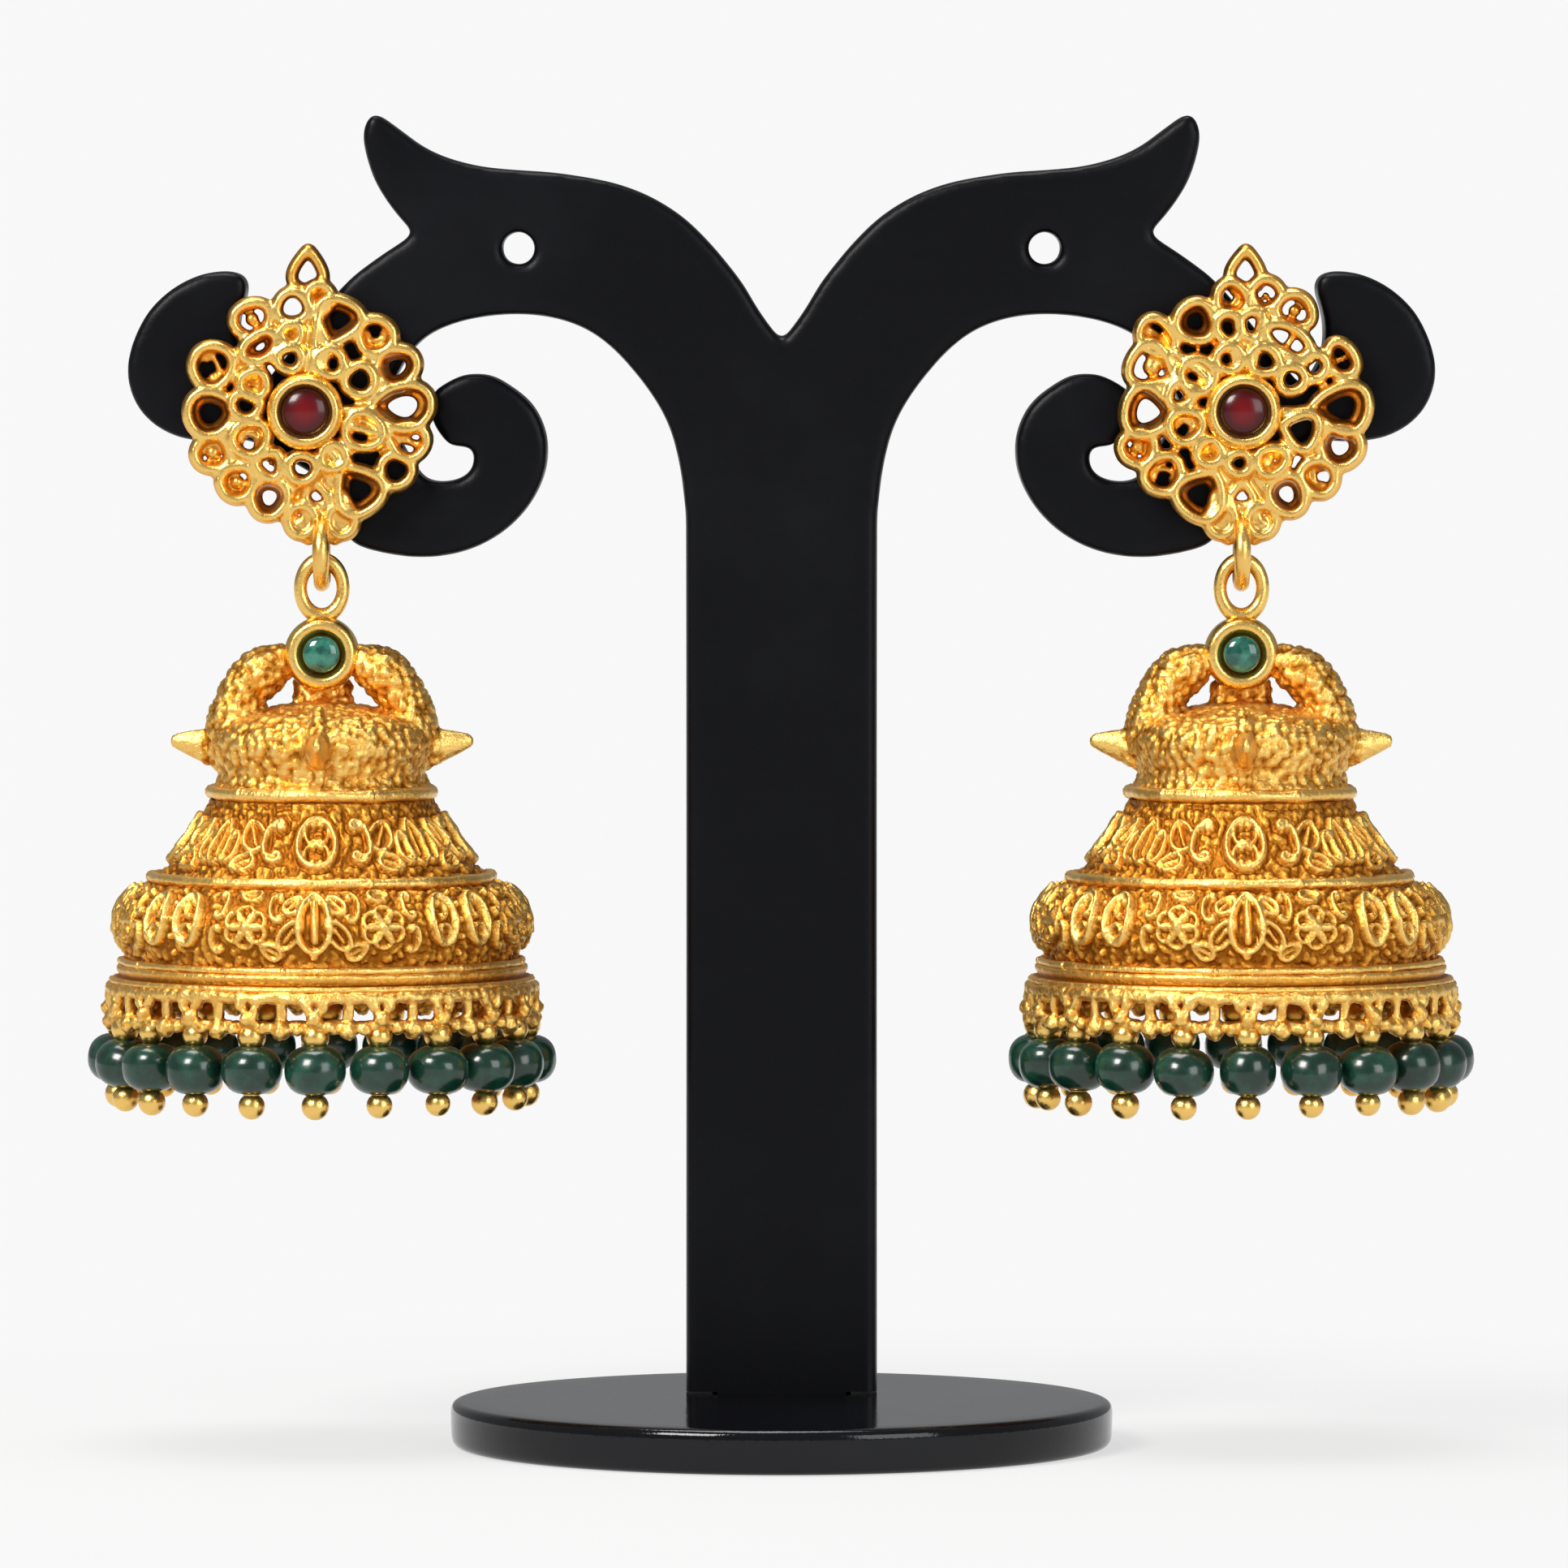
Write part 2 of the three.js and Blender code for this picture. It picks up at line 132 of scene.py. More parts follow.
class Finish:
    # one material and the nodes that it is made of
    def __init__(self, name):
        self.material = bpy.data.materials.new(name)
        self.material.use_nodes = True
        self.tree = self.material.node_tree
        self.shader = self.tree.nodes["Principled BSDF"]
        self.where = self.node("ShaderNodeTexCoord", {}, {}, "Object")

    def node(self, kind, settings, inputs, output=0):
        made = self.tree.nodes.new(kind)
        for key, value in settings.items():
            setattr(made, key, value)
        for key, value in inputs.items():
            self.feed(made.inputs[key], value)
        return Signal(self, made.outputs[output])

    def feed(self, socket, value):
        if isinstance(value, Signal):
            self.tree.links.new(value.socket, socket)
        elif isinstance(value, tuple) and len(value) == 3 and socket.type == "RGBA":
            socket.default_value = (*value, 1)
        else:
            socket.default_value = value

    def noise(self, scale, detail=2.0, roughness=0.5, stretch=None):
        where = self.where if stretch is None else self.vector("MULTIPLY", self.where, stretch)
        inputs = {"Vector": where, "Scale": scale, "Detail": detail, "Roughness": roughness}
        return self.node("ShaderNodeTexNoise", {}, inputs)

    def vector(self, operation, a, b):
        return self.node("ShaderNodeVectorMath", {"operation": operation}, {0: a, 1: b})

    def blend(self, factor, a, b):
        return self.node("ShaderNodeMix", {"data_type": "RGBA"}, {0: factor, 6: a, 7: b}, 2)

    def bump(self, height, distance, strength=1.0):
        inputs = {"Height": height, "Distance": distance, "Strength": strength}
        return self.node("ShaderNodeBump", {}, inputs)

    def attribute(self, name):
        return self.node("ShaderNodeAttribute", {"attribute_name": name}, {}, "Fac")

    def set(self, sockets):
        for name, value in sockets.items():
            self.feed(self.shader.inputs[name], value)
        return self.material


goldLook = {
    "bright": (0.87, 0.56, 0.155),
    "warm": (0.73, 0.345, 0.05),
    # the darkest colour: painted shade in the hollows, with the patina of old gold
    "patinaAndShade": (0.33, 0.115, 0.010),
    "roughness": 0.49,
    "shine": 0.14,  # how much smoother the raised work is
    "grain": 3200.0,
    "cloud": 420.0,
    "pits": 0.00012,
}


def goldFinish(name, polish=0.0, grain=1.0):
    # painted shade, with the patina of old gold: dark and red where the raised value is low, pale and smooth
    # where it is high
    look, f = goldLook, Finish(name)
    raised = f.attribute("raised")
    cloud = f.noise(look["cloud"], 3.0)
    grains = f.noise(look["grain"], 3.0, 0.6)
    mask = (raised + (cloud - 0.5) * 0.45 + (grains - 0.5) * 0.35 * grain).clamp()
    warmth = f.blend(mask.smooth(0.05, 0.5), look["patinaAndShade"], look["warm"])
    colour = f.blend(mask.smooth(0.38, 0.9), warmth, look["bright"])
    roughness = look["roughness"] - look["shine"] * mask + (grains - 0.5) * 0.2 - polish
    bump = f.bump(grains, look["pits"] * grain, 0.7)
    return f.set({"Base Color": colour, "Metallic": 1.0, "Roughness": roughness.clamp(), "Normal": bump})


class Heap:
    # gathers vertices and faces, and how raised each vertex is: 0 in the recesses, 1 on top; the gold and
    # ruby finishes paint shade and light from it
    def __init__(self):
        self.points, self.faces, self.raised, self.size = [], [], [], 0

    def add(self, points, faces, raised=1.0):
        points = np.asarray(points, float).reshape(-1, 3)
        self.points.append(points)
        self.faces.extend((np.asarray(group) + self.size).tolist() for group in faces)
        self.raised.append(np.broadcast_to(np.asarray(raised, float).ravel(), len(points)))
        self.size += len(points)

    def build(self, name, shift=(0, 0, 0)):
        points = (np.concatenate(self.points) + np.asarray(shift, float)) * mm
        piece = linked(name, points, [face for group in self.faces for face in group])
        setRaised(piece.data, np.concatenate(self.raised))
        return piece

    def make(self, name, material, body, slot, nodes, shift=(0, 0, 0)):
        return place(self.build(name, shift), material, body, nodes)


def linked(name, points, faces):
    # a new mesh in the scene, its faces all turned outwards
    mesh = bpy.data.meshes.new(name)
    mesh.from_pydata(np.asarray(points).tolist(), [], faces)
    shape = bmesh.new()
    shape.from_mesh(mesh)
    bmesh.ops.recalc_face_normals(shape, faces=shape.faces)
    shape.to_mesh(mesh)
    shape.free()
    mesh.shade_smooth()
    piece = bpy.data.objects.new(name, mesh)
    bpy.context.scene.collection.objects.link(piece)
    return piece


def setRaised(mesh, values):
    found = mesh.attributes.get("raised") or mesh.attributes.new("raised", "FLOAT", "POINT")
    found.data.foreach_set("value", np.asarray(values, np.float32))


def settle(piece):
    # the modifiers' result becomes the mesh
    bpy.context.view_layer.update()
    graph = bpy.context.evaluated_depsgraph_get()
    mesh = bpy.data.meshes.new_from_object(piece.evaluated_get(graph))
    piece.modifiers.clear()
    piece.data = mesh
    mesh.shade_smooth()


def fuse(piece, voxel, smoothing, keep=1.0):
    # melts overlapping wires and walls into one cast surface
    remesh = piece.modifiers.new("even", "REMESH")
    remesh.mode, remesh.voxel_size = "VOXEL", voxel * mm
    soften = piece.modifiers.new("soften", "SMOOTH")
    soften.factor, soften.iterations = 0.5, smoothing
    if keep < 1:
        piece.modifiers.new("thin", "DECIMATE").ratio = keep
    settle(piece)


def meshArrays(mesh):
    # points in millimetres, and the direction out of the surface at each
    points, out = (np.zeros(len(mesh.vertices) * 3, np.float32) for _ in range(2))
    mesh.vertices.foreach_get("co", points)
    mesh.vertex_normals.foreach_get("vector", out)
    return points.reshape(-1, 3).astype(float) / mm, out.reshape(-1, 3).astype(float)


def movePoints(mesh, points):
    mesh.vertices.foreach_set("co", (points * mm).astype(np.float32).ravel())
    mesh.update()


def granules(points, cell, size, seed=0.0):
    # round grains, one at a random place in each cubic cell: 1 on a grain's top and 0 between grains
    corner = np.floor(points / cell)
    best = np.full(len(points), 9.0)
    mixing = np.array([[12.99, 39.35, 73.16], [78.23, 11.14, 52.24], [37.72, 83.16, 9.15]])
    for step in np.ndindex(3, 3, 3):
        near = corner + np.array(step) - 1
        swirl = near @ mixing + seed
        spot = (near + 0.15 + 0.7 * ((np.sin(swirl) * 43758.5453) % 1)) * cell
        best = np.minimum(best, np.linalg.norm(spot - points, axis=1))
    return np.sqrt(np.clip(1 - (best / size) ** 2, 0, 1))


def wobble(points, size, seed=0.0):
    # a slow unevenness between -1 and 1
    tilt = np.array([[0.80, 0.36, -0.48], [-0.60, 0.48, -0.64], [0.0, 0.80, 0.60]])
    turned = points @ tilt * (2 * np.pi / size)
    waves = np.sin(turned + seed) + 0.6 * np.sin(1.9 * turned[:, [1, 2, 0]] + 2.3 * seed + 1)
    return np.sum(waves, axis=1) / 4.8


def place(piece, material, body, nodes):
    piece.data.materials.clear()
    piece.data.materials.append(material)
    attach(piece, body)
    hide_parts(*nodes)
    return piece


def gridFaces(rows, columns, wrapRows, wrapColumns):
    r = np.arange(rows if wrapRows else rows - 1)
    c = np.arange(columns if wrapColumns else columns - 1)
    r, c = np.meshgrid(r, c, indexing="ij")
    nextRow, nextColumn = (r + 1) % rows, (c + 1) % columns
    corners = ((r, c), (r, nextColumn), (nextRow, nextColumn), (nextRow, c))
    return np.stack([(row * columns + column).ravel() for row, column in corners], axis=1)


def tube(heap, path, radius, sides=6, closed=False, facing=front, deep=1.0, raised=(0.15, 1.0)):
    # a wire along a path; deep stretches its section towards facing
    path = np.asarray(path, float)
    radius = np.broadcast_to(np.asarray(radius, float), len(path)).copy()
    facing = np.broadcast_to(np.asarray(facing, float), path.shape).copy()
    if closed:
        along = unit(np.roll(path, -1, 0) - np.roll(path, 1, 0))
    else:
        # two more rings round each end off
        first, last = unit(path[0] - path[1]), unit(path[-1] - path[-2])
        ends = [path[:1] + first * radius[0], path[:1] + first * radius[0] * 0.7]
        tails = [path[-1:] + last * radius[-1] * 0.7, path[-1:] + last * radius[-1]]
        path = np.concatenate([*ends, path, *tails])
        taper = np.array([0.12, 0.72])
        radius = np.concatenate([radius[0] * taper, radius, radius[-1] * taper[::-1]])
        facing = np.concatenate([facing[:1], facing[:1], facing, facing[-1:], facing[-1:]])
        along = unit(np.gradient(path, axis=0))
    up = unit(facing - np.sum(facing * along, axis=1, keepdims=True) * along)
    across = np.cross(up, along)
    angle = 2 * np.pi * (np.arange(sides) + 0.5) / sides
    rise, spread = np.sin(angle)[None, :, None] * deep, np.cos(angle)[None, :, None]
    points = path[:, None] + radius[:, None, None] * (rise * up[:, None] + spread * across[:, None])
    # painted light and shade: the side towards facing gets raised[1] and so paler gold, the far side
    # raised[0] and darker gold
    lift = raised[0] + (raised[1] - raised[0]) * (np.sin(angle) + 1) / 2
    faces = [gridFaces(len(path), sides, closed, True)]
    if not closed:
        ring = np.arange(sides)
        faces.append(ring[None, ::-1])
        faces.append((len(path) - 1) * sides + ring[None])
    heap.add(points, faces, np.broadcast_to(lift, (len(path), sides)))


def sphereTemplate(rings=6, sides=10):
    polar = np.pi * np.arange(1, rings) / rings
    around = fullTurn(sides)
    body = np.stack([
        np.outer(np.sin(polar), np.cos(around)),
        np.outer(np.sin(polar), np.sin(around)),
        np.outer(np.cos(polar), np.ones(sides)),
    ], axis=-1).reshape(-1, 3)
    points = np.concatenate([[[0, 0, 1]], body, [[0, 0, -1]]])
    quads = gridFaces(rings - 1, sides, False, True)[:, ::-1] + 1
    turn = np.roll(np.arange(sides), -1)
    top = np.stack([np.zeros(sides, int), np.arange(sides) + 1, turn + 1], axis=1)
    start = 1 + (rings - 2) * sides
    bottom = np.stack([np.full(sides, len(points) - 1), turn + start, np.arange(sides) + start], axis=1)
    return points, [quads, top, bottom]


grainShape = sphereTemplate(5, 8)
ballShape = sphereTemplate(10, 18)


def ball(heap, centre, radius, facing=front, shape=grainShape, raised=(0.1, 1.0)):
    points, faces = shape
    # painted light and shade: the side towards facing is paler, the far side darker
    lift = raised[0] + (raised[1] - raised[0]) * (points @ unit(np.asarray(facing, float)) + 1) / 2
    heap.add(points * radius + np.asarray(centre, float), faces, lift)


def lathe(heap, profile, count=96, raised=1.0, closed=False):
    # a profile of radius and height turned about z; it closes on itself or starts and ends on the axis
    profile = np.asarray(profile, float)
    theta = fullTurn(count)
    radius, height = (np.repeat(profile[:, i:i + 1], count, axis=1) for i in (0, 1))
    points = np.stack([radius * np.sin(theta), -radius * np.cos(theta), height], axis=-1)
    lift = np.repeat(np.broadcast_to(np.asarray(raised, float), len(profile))[:, None], count, axis=1)
    faces = [gridFaces(len(profile), count, closed, True)[:, ::-1]]
    if closed:
        heap.add(points, faces, lift)
        return
    # the rows on the axis shrink to one point each
    ring = np.arange(count)
    inner = gridFaces(len(profile) - 2, count, False, True)[:, ::-1]
    last = (len(profile) - 2) * count
    turn = np.roll(ring, -1)
    start = np.stack([np.full(count, last), turn, ring], axis=1)
    end = np.stack([np.full(count, last + 1), last - count + ring, last - count + turn], axis=1)
    body = points[1:-1].reshape(-1, 3)
    poles = np.array([[0, 0, profile[0, 1]], [0, 0, profile[-1, 1]]])
    lift = np.concatenate([lift[1:-1].ravel(), lift[[0, -1], 0]])
    heap.add(np.concatenate([body, poles]), [inner, start, end], lift)


def turnToFront(heap):
    # what was turned about z now faces the viewer
    heap.points = [np.stack([p[:, 0], -p[:, 2], p[:, 1]], axis=1) for p in heap.points]


def rounded(points, radius, steps=4):
    # an open outline of radius and height with its inner corners rounded
    points = [np.asarray(p, float) for p in points]
    out = [points[0]]
    for before, corner, after in zip(points, points[1:], points[2:]):
        reach = min(radius, np.linalg.norm(before - corner) * 0.45, np.linalg.norm(after - corner) * 0.45)
        start = corner + unit(before - corner) * reach
        end = corner + unit(after - corner) * reach
        for t in np.linspace(0, 1, steps + 1):
            out.append((1 - t) ** 2 * start + 2 * t * (1 - t) * corner + t * t * end)
    out.append(points[-1])
    return np.array(out)


def scroll(height, lean=1.0, turn=7.0, power=2.6):
    # a C whose ends curl in; turn and power say how tightly
    s = np.linspace(-1, 1, 34)
    belly = 0.9
    bend = lean * (belly + (turn - belly) * (power + 1) * np.abs(s) ** power)
    step = s[1] - s[0]
    heading = np.cumsum(bend) * step
    heading = heading - np.interp(0, s, heading)
    path = np.cumsum(np.stack([np.sin(heading), np.cos(heading)], axis=1), axis=0) * step
    path = path - (path.max(0) + path.min(0)) / 2
    return path * height / np.ptp(path[:, 1])


def oval(width, height, count=28):
    t = fullTurn(count)
    return np.stack([np.sin(t) * width / 2, np.cos(t) * height / 2], axis=1)


def teardrop(width, height, point=1.2, count=28):
    # closed, with its point at the top
    t = fullTurn(count)
    across = np.sin(t) * np.abs(np.sin(t / 2)) ** point * width / 1.5
    return np.stack([across, np.cos(t) * height / 2], axis=1)


def spun(path, degrees):
    # turned clockwise
    angle = math.radians(degrees)
    turn = np.array([[math.cos(angle), -math.sin(angle)], [math.sin(angle), math.cos(angle)]])
    return np.asarray(path, float) @ turn


standLook = {
    "black": (0.0021, 0.0023, 0.0034),
    "worn": (0.0062, 0.0068, 0.0085),
    "voxel": 0.24,
    "smoothing": 32,
    "keep": 0.2,
    "spacing": 0.45,
    "corner": 42.0,  # degrees, the bluntest bend that stays sharp
    "baseEdge": 0.75,
    "baseDraft": 0.1,
    "footGap": 0.15,
    "sharpFrom": 50.0,
}


def blackAcrylic(name, gloss, sheen):
    f = Finish(name)
    haze = f.noise(60.0, 4.0, 0.6)
    dust = f.noise(2600.0, 2.0, 0.7)
    streaks = f.noise(90.0, 3.0, 0.6, (1.0, 1.0, 14.0))
    wear = haze.smooth(0.42, 0.75) * 0.5 + dust.smooth(0.62, 0.8) * 0.35
    colour = f.blend(wear, standLook["black"], standLook["worn"])
    roughness = (gloss + (haze - 0.5) * 0.1 + (streaks - 0.5) * 0.06).clamp()
    bump = f.bump(dust, 0.00002, 0.5)
    return f.set({"Base Color": colour, "Roughness": roughness, "Normal": bump, "Specular IOR Level": sheen})


def faceLoops(node):
    # the closed outlines of the node's flat front face, each as points of x and z
    frontY = low(node)[1]
    shape = bmesh.new()
    shape.from_mesh(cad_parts[node].data)
    bmesh.ops.remove_doubles(shape, verts=shape.verts, dist=1e-6)
    faces = {f for f in shape.faces if all(abs(v.co.y / mm - frontY) < 0.01 for v in f.verts)}
    following = {}
    for edge in shape.edges:
        inside = [f for f in edge.link_faces if f in faces]
        if len(inside) == 1:
            for loop in inside[0].loops:
                if loop.edge == edge:
                    following[loop.vert] = loop.link_loop_next.vert
    loops = []
    while following:
        start = next(iter(following))
        chain, vert = [], start
        while vert in following:
            chain.append((vert.co.x / mm, vert.co.z / mm))
            vert = following.pop(vert)
        loops.append(np.array(chain))
    shape.free()
    return sorted(loops, key=len, reverse=True)


def smoothLoop(points, spacing, corner):
    # a curve through the points that keeps their sharp corners
    before, after = np.roll(points, 1, 0), np.roll(points, -1, 0)
    arrive, leave = unit(points - before), unit(after - points)
    sharp = np.degrees(np.arccos(np.clip(np.sum(arrive * leave, axis=1), -1, 1))) > corner
    through = unit(after - before)
    start = np.where(sharp[:, None], leave, through)
    end = np.roll(np.where(sharp[:, None], arrive, through), -1, 0)
    out = []
    for a, b, m, n in zip(points, after, start, end):
        length = np.linalg.norm(b - a)
        for t in np.arange(0, 1, 1 / max(1, round(length / spacing))):
            h = (2 * t**3 - 3 * t**2 + 1, t**3 - 2 * t**2 + t, -2 * t**3 + 3 * t**2, t**3 - t**2)
            out.append(h[0] * a + h[1] * length * m + h[2] * b + h[3] * length * n)
    return np.array(out)


def carve(piece, bottom, top):
    # takes a box out of a piece
    corners = list(itertools.product(*zip(bottom, top)))
    walls = [(0, 1, 3, 2), (4, 6, 7, 5), (0, 4, 5, 1), (2, 3, 7, 6), (0, 2, 6, 4), (1, 5, 7, 3)]
    cutter = linked("cutter", np.array(corners) * mm, walls)
    cut = piece.modifiers.new("cut", "BOOLEAN")
    cut.operation, cut.object, cut.solver = "DIFFERENCE", cutter, "EXACT"
    settle(piece)
    piece.data.set_sharp_from_angle(angle=math.radians(standLook["sharpFrom"]))
    bpy.data.objects.remove(cutter)


def makePlate(material):
    # the foot is drawn down to the tab's end and cut square afterwards, so that its corners stay sharp
    outlines = faceLoops("stand_plate")
    foot, tabEnd = high("stand_base")[2] + standLook["footGap"], low("stand_plate")[2]
    atFoot = outlines[0][:, 1] < foot + 0.5
    tabHalf = np.abs(outlines[0][outlines[0][:, 1] < tabEnd + 0.1, 0]).max()
    outlines[0][atFoot, 1] = tabEnd
    outlines[0] = outlines[0][~(atFoot & (np.abs(outlines[0][:, 0]) < tabHalf + 0.1))]
    loops = [smoothLoop(loop, standLook["spacing"], standLook["corner"]) for loop in outlines]
    frontY, backY = low("stand_plate")[1], high("stand_plate")[1]
    flat = [Vector((x, 0, z)) for loop in loops for x, z in loop]
    filled = tessellate_polygon([[Vector((x, z, 0)) for x, z in loop] for loop in loops])
    count = len(flat)
    points = [(p.x, frontY, p.z) for p in flat] + [(p.x, backY, p.z) for p in flat]
    faces = [list(face) for face in filled] + [[i + count for i in reversed(face)] for face in filled]
    start = 0
    for loop in loops:
        for i in range(len(loop)):
            a, b = start + i, start + (i + 1) % len(loop)
            faces.append([a, b, b + count, a + count])
        start += len(loop)
    piece = linked("stand_plate_rounded", np.array(points) * mm, faces)
    fuse(piece, standLook["voxel"], standLook["smoothing"], standLook["keep"])
    beyond, spare = 20, 5
    for left, right in ((-beyond, -tabHalf), (tabHalf, beyond)):
        carve(piece, (left, frontY - spare, tabEnd - spare), (right, backY + spare, foot))
    place(piece, material, "stand", ["stand_plate"])


def makeBase(material):
    radius, _, height = high("stand_base")
    edge, draft = standLook["baseEdge"], standLook["baseDraft"]
    flat = radius - 3 * edge
    side = [(flat, 0), (radius - draft, 0), (radius, height / 2), (radius, height), (flat, height)]
    heap = Heap()
    lathe(heap, np.concatenate([[(0, 0)], rounded(side, edge, 6), [(0, height)]]), 180)
    piece = heap.make("stand_base_turned", material, "stand", "black_acrylic", ["stand_base"])
    # the slot's corners are the only ones between the middle and the rim
    corners = meshArrays(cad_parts["stand_base"].data)[0]
    out = np.hypot(corners[:, 0], corners[:, 1])
    slot = corners[(out > 1) & (out < radius - 2)]
    carve(piece, slot.min(0), (*slot.max(0)[:2], height + 1))


rosetteLook = {
    "wire": 0.44,
    "spread": 0.12,  # how much smaller a loop is than its row says
    "deep": 2.0,
    "dome": 0.55,
    "voxel": 0.13,
    "smoothing": 3,
    "keep": 0.7,
    "front": -0.95,
    "lip": 0.74,  # size of the second wire inside the loops wider than lipFrom
    "lipFrom": 2.2,
    "shade": 1.5,  # depth at which the wires turn dark
    "bezelOut": 2.38,
    "bezelIn": 1.45,
}

# Each row is one soldered loop: clock, the degrees from the top; out, the distance of its middle from the
# stone; wide, its size round the rosette; long, its size towards the stone; and fill, what sits inside it.
# The one loop marked tip is empty and points upwards.
rosetteLoops = {
    "right": (
        (332, 6.3, 2.5, 2.6, "open"),
        (311, 6.95, 1.9, 2.8, "strand"),
        (296, 6.3, 2.5, 3.0, "ball"),
        (270, 5.8, 2.8, 3.3, "open"),
        (251, 6.9, 2.2, 2.3, "ball"),
        (232, 6.3, 2.4, 2.6, "curl"),
        (207, 5.7, 2.8, 3.2, "open"),
        (152, 5.8, 2.4, 2.6, "open"),
        (131, 6.2, 2.2, 2.4, "curl"),
        (110, 6.4, 2.6, 2.7, "open"),
        (88, 6.0, 2.7, 3.7, "open"),
        (62, 6.9, 2.4, 1.8, "ball"),
        (57, 5.2, 1.8, 1.7, "open"),
        (33, 5.2, 3.4, 1.7, "strand"),
        (27, 7.0, 2.5, 2.1, "ball"),
        (6, 5.4, 1.8, 1.8, "open"),
        (350, 5.2, 1.5, 2.0, "open"),
        (354, 7.0, 2.1, 2.2, "curl"),
        (11, 7.3, 1.8, 2.1, "ball"),
        (1, 8.8, 1.75, 2.5, "tip"),
        (308, 3.6, 2.2, 2.3, "open"),
        (345, 3.4, 1.8, 1.7, "open"),
        (22, 3.4, 2.0, 1.8, "open"),
        (56, 3.6, 1.7, 1.8, "open"),
        (108, 3.7, 2.1, 2.4, "open"),
        (150, 3.5, 2.1, 1.8, "curl"),
        (185, 3.2, 1.6, 1.5, "open"),
        (220, 3.3, 1.7, 1.7, "curl"),
        (256, 3.7, 2.1, 2.3, "curl"),
        (284, 4.0, 1.4, 1.7, "open"),
    ),
    "left": (
        (20, 5.9, 2.5, 3.0, "open"),
        (43, 6.4, 2.3, 2.3, "curl"),
        (64, 6.3, 2.5, 2.7, "open"),
        (87, 5.9, 2.6, 3.9, "open"),
        (106, 6.5, 2.0, 2.6, "strand"),
        (123, 6.7, 2.1, 2.1, "open"),
        (146, 5.75, 2.7, 3.3, "open"),
        (203, 5.8, 2.4, 2.5, "open"),
        (224, 6.1, 2.2, 2.3, "ball"),
        (246, 6.3, 2.3, 2.3, "ball"),
        (269, 5.9, 2.9, 3.0, "open"),
        (296, 6.4, 2.8, 2.6, "curl"),
        (330, 6.6, 2.5, 2.2, "ball"),
        (325, 4.9, 2.5, 1.7, "open"),
        (1, 8.75, 1.75, 2.6, "tip"),
        (353, 6.5, 2.1, 2.0, "open"),
        (7, 6.9, 1.4, 2.2, "open"),
        (350, 4.9, 1.4, 1.4, "curl"),
        (298, 3.6, 1.8, 1.8, "curl"),
        (344, 3.4, 1.7, 1.6, "open"),
        (27, 3.4, 1.9, 1.8, "open"),
        (60, 3.9, 2.0, 2.0, "open"),
        (108, 3.8, 2.3, 2.5, "open"),
        (148, 3.3, 1.7, 1.7, "open"),
        (183, 3.5, 1.9, 1.8, "open"),
        (214, 3.9, 1.6, 1.8, "ball"),
        (244, 3.8, 2.2, 2.4, "curl"),
        (276, 3.7, 1.7, 1.9, "open"),
    ),
}


def inPlane(path, centre=(0.0, 0.0), y=0.0):
    # an outline of x and z stood up at depth y
    path = np.asarray(path, float) + np.asarray(centre)
    return np.stack([path[:, 0], np.full(len(path), y), path[:, 1]], axis=1)


def addFill(heap, kind, centre, clock, wide, long, y):
    wire = rosetteLook["wire"]
    if kind == "ball":
        spot = inPlane([(0, 0)], centre, y + 0.1)[0]
        ball(heap, spot, min(wide, long) / 2 - wire * 1.35, front, ballShape, (0.0, 0.9))
    if kind == "curl":
        curl = spun(scroll(long * 0.62, -1.0, turn=4.6), clock + 40)
        tube(heap, inPlane(curl, centre, y + 0.15), wire * 0.55, 6, False, front, 1.7, (0.05, 0.9))
    if kind == "strand":
        line = spun(np.array([(0.0, long * 0.36), (0.05, 0.0), (0.0, -long * 0.36)]), clock)
        tube(heap, inPlane(line, centre, y + 0.1), wire * 0.6, 6, False, front, 1.8, (0.05, 0.8))


def petalPath(clock, width, height, fill, slender):
    # a loop's outline round its own middle; the slender ones are teardrops that point at the stone
    if fill == "tip":
        path = spun(teardrop(width * 1.1, height, 0.8), clock)
    elif slender:
        path = spun(teardrop(width * 1.05, height, 0.7), clock + 180)
    else:
        path = spun(oval(width, height), clock)
    uneven = 1 + 0.04 * np.sin(3 * np.linspace(0, 2 * np.pi, len(path)) + clock)
    return path * uneven[:, None]


# The wires over the hanging ring: thickness, depth, and points of how far each follows the ring's
# sideways place, how far out from it, and height.
voluteWires = (
    (0.9, 1.8, [(1, 0.42, -6.1), (0.7, 0.75, -5.3), (0.5, 0.1, -4.35)]),
    (0.9, 1.8, [(1, 1.9, -6.3), (0.7, 1.75, -5.3), (0.5, 0.9, -4.2)]),
    (0.85, 1.5, [(1, 1.5, -7.6), (1, 0.8, -8.0), (1, 0.3, -7.75)]),
)


def hangingVolutes(heap, offset):
    # two curled loops meet above the ring that the drop hangs from
    wire = rosetteLook["wire"]
    for turn in (-1, 1):
        loop = inPlane(oval(1.75, 1.9), (offset + turn * 1.22, -6.75), 0.2)
        tube(heap, loop, wire, 8, True, front, 1.8)
        ball(heap, (offset + turn * 1.3, 0.05, -6.95), 0.42, front, ballShape)
        for thick, deep, points in voluteWires:
            path = [(offset * follow + turn * out, z) for follow, out, z in points]
            tube(heap, inPlane(path, y=0.2), wire * thick, 8, False, front, deep)


